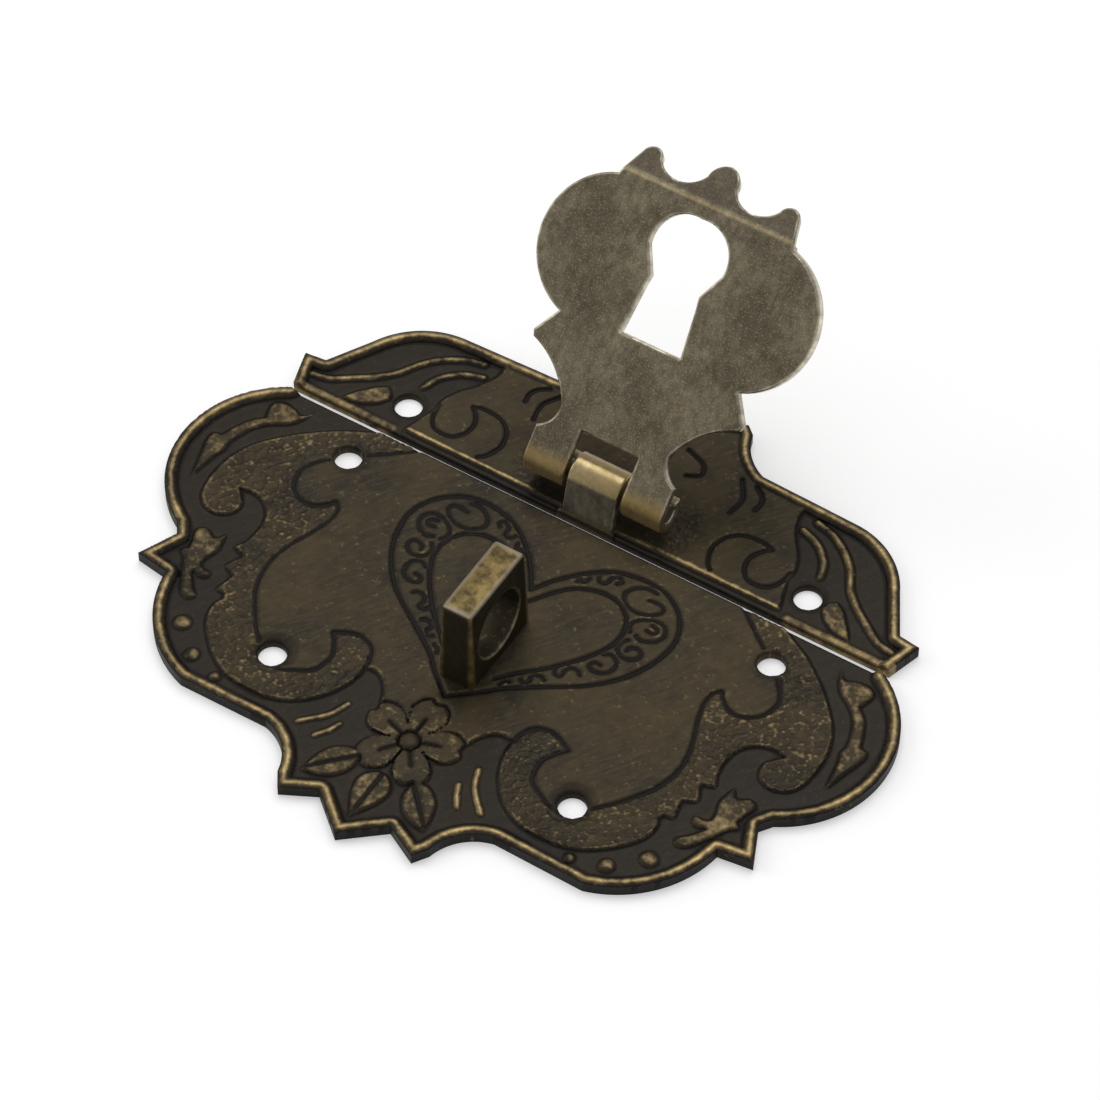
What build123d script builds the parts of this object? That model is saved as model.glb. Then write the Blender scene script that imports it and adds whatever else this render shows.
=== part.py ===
"""Hasp latch for a small chest: two stamped plates, a hinged flap and a riveted staple. Millimetres.

Frame: +X along the hinge pin, +Y from the lower plate to the upper plate, +Z out of the mounting
surface. The origin is on the back of the plates, under the middle of the hinge pin.
"""
import math
import os

from build123d import *

# Sheet and stamped relief
sheet = 0.85              # thickness of the sheet that is curled into knuckles
ground_height = 0.70      # plate thickness at its sunk ground
relief_height = 0.26      # raised ornament above the ground
rim_height = 0.42         # raised rim above the ground
rim_width = 0.90          # width of the rim along the curved outlines
groove_width = 0.40       # chased lines of the ornament
groove_depth = 0.16
petal_count = 5
petal_reach = 4.0         # tip of a petal from the flower's middle
petal_width = 2.0
boss_radius = 0.75        # middle of the flower
boss_height = 0.16        # above its petals
bead_sides = 6            # facets round a bead

# Hinge
pin_radius = 0.70
pin_fit = 0.02            # radial clearance of the pin in the plate's tongue
hinge_play = 0.05         # radial clearance of the pin in the flap's knuckles
pin_recess = 0.10         # how far each end of the pin lies inside its knuckle
pin_height = 3.40         # pin axis above the back of the plates
edge_to_pin = 2.40        # pin axis behind the upper plate's straight edge
tongue_width = 4.40
knuckle_gap = 0.35        # between the tongue and the knuckle beside it
curl_width = 3.55         # each knuckle of the flap
tongue_end = -75.0        # degrees, where the tongue's curl stops, from +Y
curl_end = 325.0          # degrees, where the flap's curl stops, from the flap's own length
rest_angle = 45.0         # degrees, the open flap above the upper plate

# Upper plate
upper_width = 55.0        # across its two side points
upper_depth = 16.6        # straight edge to the middle point
upper_screw_spacing = 35.8
upper_screw_inset = 3.0   # screw holes behind the straight edge

# Lower plate
seam = 0.60               # between the two straight edges
lower_width = 62.0        # across its two round sides
lower_depth = 33.6        # straight edge to the bottom point
lower_top_screw_spacing = 37.7
lower_top_screw_inset = 3.4
lower_low_screw_spacing = 26.3
lower_low_screw_inset = 22.2
screw_hole_radius = 1.10

# Staple
staple_inset = 13.5       # its middle from the lower plate's straight edge
staple_thick = 3.0        # along the pin, at its foot
staple_length = 8.0       # across the pin, at its foot
staple_top_thick = 2.6
staple_top_length = 7.4
staple_rise = 8.0         # above the plate's raised field
staple_edge = 0.25        # broken corners of the block
bore_radius = 2.75        # hole for the padlock's shackle
bore_rise = 3.7           # hole's middle above the raised field
tenon_thick = 2.0
tenon_length = 5.2
tenon_fit = 0.02          # clearance of the tenon in the plate, each side

# Flap
flap_width = 23.7         # across the two lobes
neck_width = 9.6
slot_side_gap = 0.75      # staple's foot to the keyhole's slot, each side
slot_flare = 0.35         # slot wider at its end nearest the pin, each side
slot_cusp = 0.15          # cusps reaching into the slot, each side
slot_near_gap = 1.30      # staple's foot to the end of the slot nearest the pin
slot_far_gap = 0.50       # staple's top corner to the round end, as the flap swings past it
keyhole_width = 6.6       # across the keyhole's round part
window_reach = 3.1        # end of the tongue's window, from the pin
keyhole_bridge = 1.15     # sheet between the keyhole and the crease
flap_rim_width = 0.80     # raised rim on the flap's front
flap_rim_height = 0.22
crown_reach = 3.7         # middle point of the crown beyond the crease
crown_side_reach = 2.7    # its two side points
crown_dip_reach = 0.9     # the dips between them
crown_bend = 30.0         # degrees, the crown turned away from the plate

# Heights and places that follow from the sizes above
field_top = ground_height + relief_height
rim_top = ground_height + rim_height
knuckle_radius = pin_radius + hinge_play + sheet
window_half = tongue_width / 2 + knuckle_gap
knuckle_end = window_half + curl_width
upper_edge_y = -edge_to_pin
lower_edge_y = upper_edge_y - seam
staple_distance = edge_to_pin + seam + staple_inset
staple_top = field_top + staple_rise
keyhole_near = staple_distance - staple_length / 2 - slot_near_gap
far_corner = math.hypot(staple_distance + staple_top_length / 2, staple_top - pin_height)
keyhole_far = far_corner + slot_far_gap
crease = keyhole_far + keyhole_bridge

THROUGH = 50.0            # longer than any cut


def chain(start, *steps):
    """Edges from a start point: a step is a point for a line, or a pair (on the way, end) for an arc."""
    edges = []
    here = start
    for step in steps:
        if isinstance(step[0], tuple):
            edges.append(ThreePointArc(here, step[0], step[1]))
            here = step[1]
        else:
            edges.append(Line(here, step))
            here = step
    return edges


def placed(across, along, shift_y, steps):
    """The same steps, stretched to the real plate and moved to its straight edge."""
    moved = []
    for step in steps:
        if isinstance(step[0], tuple):
            moved.append(tuple((x * across, y * along + shift_y) for x, y in step))
        else:
            moved.append((step[0] * across, step[1] * along + shift_y))
    return moved


def lower_stretch():
    """Stretch, across and along, of the lower plate's drawing, which is 62 wide and 33.6 deep."""
    return lower_width / 62.0, lower_depth / 33.6


def upper_stretch():
    """Stretch, across and along, of the upper plate's drawing, which is 55 wide and 16.6 deep."""
    return upper_width / 55.0, upper_depth / 16.6


def flap_stretch():
    """Stretch, across and along, of the flap's drawing, which is 23.7 wide with its crease at 22.6."""
    return flap_width / 23.7, crease / 22.6


def on_lower(*steps):
    """Steps drawn from the lower plate's straight edge, y counted away from the hinge."""
    across, along = lower_stretch()
    return placed(across, -along, lower_edge_y, steps)


def on_upper(*steps):
    """Steps drawn from the upper plate's straight edge, y counted away from the seam."""
    across, along = upper_stretch()
    return placed(across, along, upper_edge_y, steps)


def shape(steps):
    """Closed face along the steps, which end where they start."""
    return make_face(chain(*steps))


def both_sides(face):
    """A face and its mirror image beyond the middle line."""
    return face + mirror(face, about=Plane.YZ)


def middle_shape(steps):
    """Face drawn as its right half, from the middle line round to the middle line."""
    right = chain(*steps)
    first = steps[0]
    last = steps[-1][1] if isinstance(steps[-1][0], tuple) else steps[-1]
    half = make_face(right + [Line(last, first)])
    return both_sides(half)


def discs(places, radius):
    """Equal round faces at the given places."""
    return Sketch() + [Pos(x, y) * Circle(radius) for x, y in places]


def band(edges, width):
    """Strip reaching the given width to either side of a run of edges, round at their ends."""
    ends = {(round(corner.X, 6), round(corner.Y, 6)) for edge in edges for corner in edge.vertices()}
    return trace(edges, 2 * width) + discs(sorted(ends), width)


def raised(face, bottom, top):
    """Prism over a face between two heights."""
    return Pos(0, 0, bottom) * extrude(face, amount=top - bottom, dir=(0, 0, 1))


def lower_outline():
    """The lower plate's outline: round sides, spikes, low curves, horns and the bottom point."""
    return middle_shape(on_lower(
        (0.0, 0.0),
        (26.6, 0.0),
        ((31.0, 7.6), (26.3, 15.7)),
        (25.6, 16.7),
        (27.0, 19.8),
        (24.2, 20.2),
        ((22.0, 25.0), (17.5, 27.9)),
        (10.0, 27.8),
        ((7.7, 29.1), (6.6, 31.2)),
        (5.8, 32.4),
        (3.1, 31.0),
        (0.0, 33.6),
    ))


def lower_field():
    """Raised middle field with its scroll bands: the top edge, the scroll's eye, the serrated
    side, the hook's back, and the arch over the flower."""
    return middle_shape(on_lower(
        (0.0, 0.0),
        (19.4, 0.0),
        ((24.6, 4.5), (26.7, 10.0)),
        ((25.6, 13.0), (23.0, 12.0)),
        (24.2, 10.4),
        ((21.9, 10.6), (20.6, 13.2)),
        (21.2, 15.4),
        (20.1, 15.8),
        (20.8, 17.2),
        (19.7, 17.7),
        (20.1, 19.4),
        (19.2, 19.7),
        ((18.1, 23.5), (13.0, 26.0)),
        ((8.3, 24.3), (6.5, 19.8)),
        ((5.0, 20.0), (3.7, 21.1)),
        (1.8, 20.9),
        ((1.3, 19.7), (0.0, 19.2)),
    ))


def heart_lines():
    """Two chased hearts, one inside the other, round the staple."""
    outer = chain(*on_lower(
        (0.0, 7.1),
        ((3.4, 3.0), (7.4, 1.7)),
        ((11.0, 3.8), (11.4, 8.0)),
        ((7.4, 13.2), (0.3, 18.7)),
    ))
    inner = chain(*on_lower(
        (0.4, 8.1),
        ((2.4, 5.5), (5.2, 4.4)),
        ((7.7, 5.8), (7.8, 8.7)),
        ((5.4, 12.2), (2.2, 15.6)),
    ))
    return both_sides(trace(outer, groove_width) + trace(inner, groove_width))


def flower_middle():
    """Middle of the flower on the lower plate."""
    return Pos(*on_lower((0.0, 23.7))[0])


def petals():
    """Petals of two arcs each, from the boss to a point, spread evenly round the flower's middle."""
    inner = boss_radius / 2
    halfway = (inner + petal_reach) / 2
    outline = chain(
        (0.0, inner),
        ((petal_width / 2, halfway), (0.0, petal_reach)),
        ((-petal_width / 2, halfway), (0.0, inner)),
    )
    petal = make_face(outline)
    turns = [Rot(0, 0, 360 * number / petal_count) for number in range(petal_count)]
    return flower_middle() * (Sketch() + [turn * petal for turn in turns])


def leaves():
    """Three pointed leaves each side of the middle, fanned out under the flower."""
    middle = middle_shape(on_lower((0.0, 27.5), ((1.3, 28.8), (0.0, 31.2))))
    upper = shape(on_lower((3.3, 26.5), ((4.7, 27.6), (5.0, 29.3)), (3.6, 28.1), (3.3, 26.5)))
    lower = shape(on_lower((2.2, 27.6), ((3.9, 28.2), (4.6, 29.7)), (2.8, 29.1), (2.2, 27.6)))
    return middle + both_sides(upper) + both_sides(lower)


def side_leaves():
    """Long barbed leaf in the round side, and the short barbed leaf by the spike."""
    long_leaf = shape(on_lower(
        (23.5, 1.1),
        (24.6, 1.7),
        ((26.0, 1.5), (26.6, 2.9)),
        ((27.7, 5.0), (28.3, 6.7)),
        (29.0, 6.9),
        ((28.8, 9.4), (28.0, 11.4)),
        ((27.7, 9.5), (27.3, 7.8)),
        ((26.7, 5.3), (25.0, 3.4)),
        ((23.9, 2.4), (23.5, 1.1)),
    ))
    short_leaf = shape(on_lower(
        (22.4, 14.7),
        (23.3, 15.5),
        (24.5, 15.3),
        (24.2, 17.7),
        (23.3, 19.6),
        (22.0, 21.2),
        (21.1, 20.9),
        (22.5, 18.8),
        (21.3, 18.8),
        (22.4, 18.0),
        (22.4, 14.7),
    ))
    return both_sides(long_leaf) + both_sides(short_leaf)


def beads():
    """Three faceted beads along the lower curve, each side, from large to small."""
    face = Sketch()
    for x, y, radius in ((20.4, 23.4, 0.75), (18.1, 25.5, 0.65), (15.5, 26.3, 0.45)):
        place = on_lower((x, y))[0]
        face += Pos(*place) * RegularPolygon(radius * lower_stretch()[0], bead_sides)
    return both_sides(face)


def scroll_line():
    """Chased line between the field and the scroll band: bowl, cusp and long curve."""
    bowl = chain(*on_lower((20.4, 4.8), ((20.9, 7.8), (19.0, 9.0)), ((17.8, 8.6), (17.1, 7.6))))
    side = chain(*on_lower((17.1, 7.6), ((16.7, 10.2), (18.1, 14.8)), ((17.2, 18.6), (14.4, 21.7))))
    return both_sides(trace(bowl + side, groove_width))


def screw_places(spacing, y):
    """Two places, either side of the middle line."""
    return [(-spacing / 2, y), (spacing / 2, y)]


def make_lower_plate():
    """Stamped plate: rim, sunk ground, raised ornament, chased lines, screw holes and rivet slot."""
    outline = lower_outline()
    curved = [edge for edge in outline.edges() if edge.center().Y < lower_edge_y - rim_width / 2]
    inside = outline - band(curved, rim_width)
    plate = raised(outline, 0, rim_top) - raised(inside, ground_height, THROUGH)
    field = raised(lower_field(), ground_height / 2, field_top)
    for line in (heart_lines(), scroll_line()):
        field -= raised(line, field_top - groove_depth, THROUGH)
    plate += field
    for ornament in (petals(), leaves(), side_leaves(), beads()):
        plate += raised(ornament, ground_height / 2, field_top)
    boss = flower_middle() * RegularPolygon(boss_radius, bead_sides)
    plate += raised(boss, ground_height / 2, field_top + boss_height)
    holes = discs(screw_places(lower_top_screw_spacing, lower_edge_y - lower_top_screw_inset), screw_hole_radius)
    holes += discs(screw_places(lower_low_screw_spacing, lower_edge_y - lower_low_screw_inset), screw_hole_radius)
    plate -= raised(holes, -1, THROUGH)
    slot = Rectangle(tenon_thick + 2 * tenon_fit, tenon_length + 2 * tenon_fit)
    return plate - raised(Pos(0, -staple_distance) * slot, -1, THROUGH)


def make_staple():
    """Tapered block on the plate's raised field, with a shackle hole and a tenon through the plate."""
    foot = Pos(0, -staple_distance, field_top) * Rectangle(staple_thick, staple_length)
    head = Pos(0, -staple_distance, staple_top) * Rectangle(staple_top_thick, staple_top_length)
    block = loft([foot, head])
    upper_edges = block.edges().filter_by(lambda edge: edge.center().Z > field_top + staple_edge)
    block = chamfer(upper_edges, staple_edge)
    bore = Pos(0, -staple_distance, field_top + bore_rise) * Rot(0, 90, 0) * Cylinder(bore_radius, THROUGH)
    tenon = raised(Pos(0, -staple_distance) * Rectangle(tenon_thick, tenon_length), 0, field_top)
    return block - bore + tenon


def upper_outline():
    """The upper plate's outline: side points, wings, horns and a middle point like the lower plate's."""
    return middle_shape(on_upper(
        (0.0, 0.0),
        (26.6, 0.0),
        (27.5, 3.0),
        (25.7, 3.2),
        (23.6, 6.9),
        ((21.4, 9.5), (17.8, 10.8)),
        (9.2, 11.1),
        ((7.4, 12.4), (6.4, 14.3)),
        (5.6, 15.0),
        (3.1, 13.7),
        (0.0, 16.6),
    ))


def wing_ground():
    """Sunk ground of each wing, between the rim and the middle field, with ridges and leaf left standing."""
    ground = shape(on_upper(
        (18.6, 0.9),
        (25.9, 0.9),
        (26.6, 2.4),
        (25.0, 2.6),
        (22.9, 6.4),
        ((20.9, 8.8), (17.6, 10.0)),
        (14.6, 10.1),
        (13.6, 8.0),
        ((16.2, 6.6), (16.6, 4.4)),
        ((19.2, 4.6), (18.6, 0.9)),
    ))
    outer_ridge = shape(on_upper(
        (25.7, 1.3),
        ((21.8, 3.0), (19.3, 6.3)),
        ((17.4, 8.4), (14.9, 9.2)),
        (15.0, 9.7),
        ((17.9, 8.9), (19.8, 6.6)),
        ((22.1, 3.5), (25.7, 1.8)),
        (25.7, 1.3),
    ))
    inner_ridge = shape(on_upper(
        (17.6, 4.9),
        ((16.4, 6.9), (14.2, 8.0)),
        (14.4, 8.5),
        ((16.9, 7.3), (18.1, 5.1)),
        (17.6, 4.9),
    ))
    leaf = shape(on_upper((22.2, 1.0), (20.5, 1.1), (19.7, 2.3), (20.5, 3.2), (20.8, 1.9), (22.2, 1.0)))
    return both_sides(ground - outer_ridge - inner_ridge - leaf)


def upper_scrolls():
    """Chased scroll of the middle field, each side: a round eye open towards the wing."""
    eye = chain(*on_upper((13.4, 5.3), ((12.3, 3.0), (14.0, 1.75)), ((15.6, 2.8), (15.5, 4.9))))
    return both_sides(trace(eye, groove_width))


def make_tongue():
    """Knuckle tongue: rises from the straight edge, tangent to the curl, and wraps over the pin."""
    bore = pin_radius + pin_fit
    outside = bore + sheet
    foot = (upper_edge_y, -pin_height)
    foot_angle = math.degrees(math.atan2(foot[1], foot[0])) % 360
    tangent = foot_angle - math.degrees(math.acos(outside / math.hypot(*foot)))

    def at(radius, angle):
        return (radius * math.cos(math.radians(angle)), radius * math.sin(math.radians(angle)))

    middle = (tangent + tongue_end) / 2
    rise = (foot[0] - at(outside, tangent)[0], foot[1] - at(outside, tangent)[1])
    inner_foot = (at(bore, tangent)[0] + rise[0], at(bore, tangent)[1] + rise[1])
    profile = make_face(chain(
        foot,
        at(outside, tangent),
        (at(outside, middle), at(outside, tongue_end)),
        at(bore, tongue_end),
        (at(bore, middle), at(bore, tangent)),
        inner_foot,
        foot,
    ))
    body = extrude(Plane.YZ * profile, amount=tongue_width / 2, both=True)
    above_back = Pos(0, 0, THROUGH / 2) * Box(THROUGH, THROUGH, THROUGH)
    return (Pos(0, 0, pin_height) * body) & above_back


def make_upper_plate():
    """Stamped plate with rim, sunk wings, chased scrolls and screw holes, and its curled tongue."""
    outline = upper_outline()
    curved = [edge for edge in outline.edges() if edge.center().Y > upper_edge_y + rim_width / 2]
    inside = outline - band(curved, rim_width)
    plate = raised(outline, 0, rim_top) - raised(inside, field_top, THROUGH)
    plate -= raised(wing_ground(), ground_height, THROUGH)
    plate -= raised(upper_scrolls(), field_top - groove_depth, THROUGH)
    holes = discs(screw_places(upper_screw_spacing, upper_edge_y + upper_screw_inset), screw_hole_radius)
    plate -= raised(holes, -1, THROUGH)
    return plate + make_tongue()


def flap_outline():
    """The flap's outline: knuckles, neck, barbs and lobes, as far as the crease."""
    across, along = flap_stretch()
    neck = neck_width / 2
    knuckles = [
        (0.0, 0.0),
        (knuckle_end, 0.0),
        (knuckle_end, 2.1 * along),
        ((neck + 0.23 * (knuckle_end - neck), 2.9 * along), (neck, 4.2 * along)),
    ]
    barb = (9.0 * across, 8.1 * along)
    under_barb = (neck + 0.36 * (barb[0] - neck), 6.4 * along)
    lobe = placed(across, along, 0.0, [
        (9.2, 8.6),
        (7.85, 10.7),
        ((11.85, 16.7), (7.6, 22.1)),
        (7.45, 22.6),
        (0.0, 22.6),
    ])
    return middle_shape(knuckles + [(under_barb, barb)] + lobe)


def keyhole():
    """Keyhole that drops over the staple: a slot that narrows to two cusps, then a round end."""
    slot_half = staple_thick / 2 + slot_side_gap
    head_half = keyhole_width / 2
    reach = keyhole_far - keyhole_near
    shoulder = keyhole_near + 0.37 * reach
    cusp = keyhole_near + 0.47 * reach
    cheek = keyhole_near + 0.68 * reach
    return middle_shape([
        (0.0, keyhole_near),
        (slot_half + slot_flare, keyhole_near),
        (slot_half, shoulder),
        (slot_half - slot_cusp, cusp),
        (0.97 * head_half, cheek),
        ((0.77 * head_half, keyhole_near + 0.91 * reach), (0.0, keyhole_far)),
    ])


def crown():
    """Three rounded points beyond the crease, drawn from the crease line."""
    across = flap_stretch()[0]
    corner = 7.45 * across
    return middle_shape([
        (0.0, -sheet),
        (corner, -sheet),
        (corner, 0.0),
        (6.8 * across, 0.75 * crown_side_reach),
        ((5.95 * across, crown_side_reach), (5.1 * across, 0.72 * crown_side_reach)),
        ((3.3 * across, crown_dip_reach), (1.3 * across, 0.6 * crown_reach)),
        ((0.6 * across, 0.95 * crown_reach), (0.0, crown_reach)),
    ])


def make_flap():
    """Folded sheet, drawn lying back over the upper plate with its plain back up, then swung open."""
    inside = knuckle_radius - sheet
    window = Rectangle(2 * window_half, 2 * window_reach)
    blank = flap_outline() - keyhole() - window
    body = raised(blank, inside, knuckle_radius)
    rim = band(flap_outline().edges(), flap_rim_width) & blank
    clear_of_hinge = Pos(0, crease / 2 + 2 * window_reach) * Rectangle(2 * flap_width, crease)
    body += raised(rim & clear_of_hinge, inside - flap_rim_height, inside)
    turned = Pos(0, crease, knuckle_radius) * Rot(-crown_bend, 0, 0)
    body += turned * raised(crown(), -sheet, 0)
    outer = Circle(knuckle_radius) - Circle(inside)
    opening = Polyline(
        (0, 0),
        (0, 2 * knuckle_radius),
        (2 * knuckle_radius, 2 * knuckle_radius),
        (2 * knuckle_radius, 2 * knuckle_radius * math.tan(math.radians(curl_end))),
        close=True,
    )
    section = outer - make_face(opening)
    for side in (-1, 1):
        middle = side * (window_half + knuckle_end) / 2
        body += Pos(middle, 0, 0) * extrude(Plane.YZ * section, amount=curl_width / 2, both=True)
    return Pos(0, 0, pin_height) * Rot(rest_angle, 0, 0) * body


def make_pin():
    """Plain cut pin through the three knuckles."""
    length = 2 * (knuckle_end - pin_recess)
    return Pos(0, 0, pin_height) * Rot(0, 90, 0) * Cylinder(pin_radius, length)


os.makedirs("parts", exist_ok=True)
pieces = {
    "upper_plate": make_upper_plate(),
    "lower_plate": make_lower_plate(),
    "staple": make_staple(),
    "hinge_pin": make_pin(),
    "hasp_flap": make_flap(),
}
for name, piece in pieces.items():
    export_step(piece, f"parts/{name}.step")
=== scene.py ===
"""Looks of an antique-bronze box hasp: two stamped plates, a folded flap, a staple and a pin.

Shapes are worked out in millimetres in the part's own frame (x along the hinge pin, y from the lower
plate to the upper plate, z out of the mounting surface) and go into the meshes in metres.
"""
import math

import bpy
import numpy as np
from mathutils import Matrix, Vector
from mathutils.geometry import delaunay_2d_cdt


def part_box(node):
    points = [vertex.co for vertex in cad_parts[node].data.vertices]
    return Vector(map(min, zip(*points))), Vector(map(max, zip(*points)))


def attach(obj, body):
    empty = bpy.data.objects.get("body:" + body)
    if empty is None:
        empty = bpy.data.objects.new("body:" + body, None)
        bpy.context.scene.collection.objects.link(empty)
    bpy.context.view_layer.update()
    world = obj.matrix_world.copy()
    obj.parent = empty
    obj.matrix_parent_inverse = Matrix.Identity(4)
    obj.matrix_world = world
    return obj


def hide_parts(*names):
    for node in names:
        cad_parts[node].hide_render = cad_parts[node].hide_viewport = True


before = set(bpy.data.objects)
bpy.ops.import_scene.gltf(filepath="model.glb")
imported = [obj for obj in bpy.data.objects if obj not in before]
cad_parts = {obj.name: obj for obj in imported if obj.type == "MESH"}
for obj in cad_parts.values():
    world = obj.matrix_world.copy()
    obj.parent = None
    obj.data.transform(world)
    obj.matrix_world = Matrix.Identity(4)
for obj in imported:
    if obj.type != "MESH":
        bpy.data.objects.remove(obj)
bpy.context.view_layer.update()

MM = 0.001


def node_box(node):
    """Lowest and highest corner of a solid, in millimetres."""
    low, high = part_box(node)
    return np.array(low) / MM, np.array(high) / MM


# Places read from the solids
LOWER_HIGH = node_box("lower_plate")[1]
UPPER_LOW = node_box("upper_plate")[0]
STAPLE_LOW, STAPLE_HIGH = node_box("staple")
PIN_LOW, PIN_HIGH = node_box("hinge_pin")
LOWER_EDGE = LOWER_HIGH[1]
UPPER_EDGE = UPPER_LOW[1]
PIN_HEIGHT = (PIN_LOW[2] + PIN_HIGH[2]) / 2
STAPLE_MIDDLE = (STAPLE_LOW[1] + STAPLE_HIGH[1]) / 2

# Relief of the stamped plates
GROUND = 0.70
FIELD = 0.96
RIM_TOP = LOWER_HIGH[2]
RIM_WIDTH = 0.97
RIM_CREST = 0.45
SCREW_RADIUS = 1.10
GROUND_TARNISH = 0.14
PEBBLE_SIZE = 0.42
EDGE_ROUND = 0.15
FINE_BLUR = 0.22
BROAD_BLUR = 0.7

# Sheet of the hinge
SHEET = 0.85
KNUCKLE_RADIUS = 1.60
TONGUE_RADIUS = 1.57
TONGUE_HALF = 2.2
TONGUE_END = math.radians(-75)
CURL_END = math.radians(325)
REST_ANGLE = math.radians(45)
WINDOW_HALF = 2.55
KNUCKLE_END = 6.1
WINDOW_REACH = 3.1
CREASE = 22.6
CROWN_BEND = math.radians(30)
FLAP_RIM_RISE = 0.22

# Grid spacing of each surface
LOWER_STEP = 0.135
UPPER_STEP = 0.09
FLAP_STEP = 0.10
STAPLE_STEP = 0.08
TONGUE_STEP = 0.08
CHORD = 0.10


# Drawn lines

def smooth(*points):
    """Catmull-Rom curve: a cubic through all the points, with chords of about CHORD."""
    knots = np.array(points, float)
    before = np.vstack([2 * knots[0] - knots[1], knots[:-1]])[:-1]
    first = knots[:-1]
    second = knots[1:]
    after = np.vstack([knots[1:], 2 * knots[-1] - knots[-2]])[1:]
    longest = np.linalg.norm(second - first, axis=1).max()
    count = max(int(longest / CHORD) + 1, 3)
    t = (np.arange(count) / count)[None, :, None]
    a, b, c, d = (part[:, None, :] for part in (before, first, second, after))
    cubic = 2 * b + (c - a) * t + (2 * a - 5 * b + 4 * c - d) * t ** 2 + (3 * b - a - 3 * c + d) * t ** 3
    return np.vstack([(cubic / 2).reshape(-1, 2), knots[-1:]])


def straight(*points):
    """Straight chords between the points, cut into pieces of about CHORD."""
    corners = np.array(points, float)
    pieces = []
    for start, end in zip(corners[:-1], corners[1:]):
        count = max(int(np.linalg.norm(end - start) / CHORD), 1)
        pieces.append(start + (end - start) * np.arange(count)[:, None] / count)
    return np.vstack(pieces + [corners[-1:]])


def arc(start, middle, end):
    """Circular arc through three points: the centre is where the two chords' mid-lines meet."""
    p, q, r = (np.array(point, float) for point in (start, middle, end))
    lines = 2 * np.array([q - p, r - p])
    centre = np.linalg.solve(lines, [q @ q - p @ p, r @ r - p @ p])
    angles = np.unwrap([math.atan2(*(point - centre)[::-1]) for point in (p, q, r)])
    radius = np.linalg.norm(p - centre)
    count = max(int(radius * abs(angles[2] - angles[0]) / CHORD), 4)
    turn = np.linspace(angles[0], angles[2], count + 1)
    return centre + radius * np.column_stack([np.cos(turn), np.sin(turn)])


def ring(centre, radius):
    """Closed circle."""
    turn = np.linspace(0, 2 * math.pi, max(int(2 * math.pi * radius / CHORD), 24) + 1)
    return np.array(centre) + radius * np.column_stack([np.cos(turn), np.sin(turn)])


def joined(*runs):
    """One line from several runs that follow each other."""
    return np.vstack(runs)


def closed_at_middle(line, beyond=6.0):
    """Half of a symmetrical outline, closed well beyond the middle line."""
    return np.vstack([[-beyond, line[0][1]], line, [-beyond, line[-1][1]], [-beyond, line[0][1]]])


# Grid and distances

def smoothstep(low, high, value):
    """0 below low, 1 above high, and 3t² - 2t³ between them."""
    t = np.clip((value - low) / (high - low), 0, 1)
    return t * t * (3 - 2 * t)


class HalfGrid:
    """Square grid over the right half of a sheet; u across from the middle line, v along it."""

    def __init__(self, half_width, low, high, step):
        self.step = step
        self.u = np.arange(0, half_width + 3 * step, step)
        self.v = np.arange(low - 2 * step, high + 3 * step, step)
        self.shape = (len(self.v), len(self.u))
        self.U, self.V = np.meshgrid(self.u, self.v)

    def around(self, u, v):
        """Distance to a point."""
        return np.hypot(self.U - u, self.V - v)

    def nearest(self, line, reach):
        """Distance to a line, up to reach, and the line's nearest point, from each chord's surroundings."""
        best = np.full(self.shape, reach ** 2)
        near_u = self.U.copy()
        near_v = self.V.copy()
        for (u0, v0), (u1, v1) in zip(line[:-1], line[1:]):
            left = max(int((min(u0, u1) - reach - self.u[0]) / self.step), 0)
            right = int((max(u0, u1) + reach - self.u[0]) / self.step) + 2
            low = max(int((min(v0, v1) - reach - self.v[0]) / self.step), 0)
            high = int((max(v0, v1) + reach - self.v[0]) / self.step) + 2
            if right <= 0 or high <= 0 or left >= self.shape[1] or low >= self.shape[0]:
                continue
            du = u1 - u0
            dv = v1 - v0
            size = du * du + dv * dv
            if size == 0:
                continue
            window = (slice(low, high), slice(left, right))
            pu = self.U[window]
            pv = self.V[window]
            t = np.clip(((pu - u0) * du + (pv - v0) * dv) / size, 0, 1)
            foot_u = u0 + t * du
            foot_v = v0 + t * dv
            square = (pu - foot_u) ** 2 + (pv - foot_v) ** 2
            closer = square < best[window]
            best[window][closer] = square[closer]
            near_u[window][closer] = foot_u[closer]
            near_v[window][closer] = foot_v[closer]
        return np.sqrt(best), near_u, near_v

    def distance(self, *lines, reach=0.8):
        """Distance to the nearest of several lines, up to reach."""
        return np.min([self.nearest(line, reach)[0] for line in lines], axis=0)

    def inside(self, loop):
        """True where an odd number of the loop's chords lie to the left."""
        toggles = np.zeros((self.shape[0], self.shape[1] + 1), int)
        for (u0, v0), (u1, v1) in zip(loop[:-1], loop[1:]):
            rows = np.nonzero((self.v >= min(v0, v1)) & (self.v < max(v0, v1)))[0]
            if len(rows) == 0:
                continue
            crossing = u0 + (self.v[rows] - v0) / (v1 - v0) * (u1 - u0)
            np.add.at(toggles, (rows, np.searchsorted(self.u, crossing)), 1)
        return np.cumsum(toggles, axis=1)[:, :-1] % 2 == 1

    def signed(self, loop, reach=0.8):
        """Distance to a closed loop, positive inside it."""
        away = self.nearest(loop, reach)[0]
        return np.where(self.inside(loop), away, -away)


def mirrored(half, sign=1):
    """Values of the right half and, before them, of their mirror image."""
    image = half[:, :0:-1]
    if sign < 0:
        image = -image
    return np.concatenate([image, half], axis=1)


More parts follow.
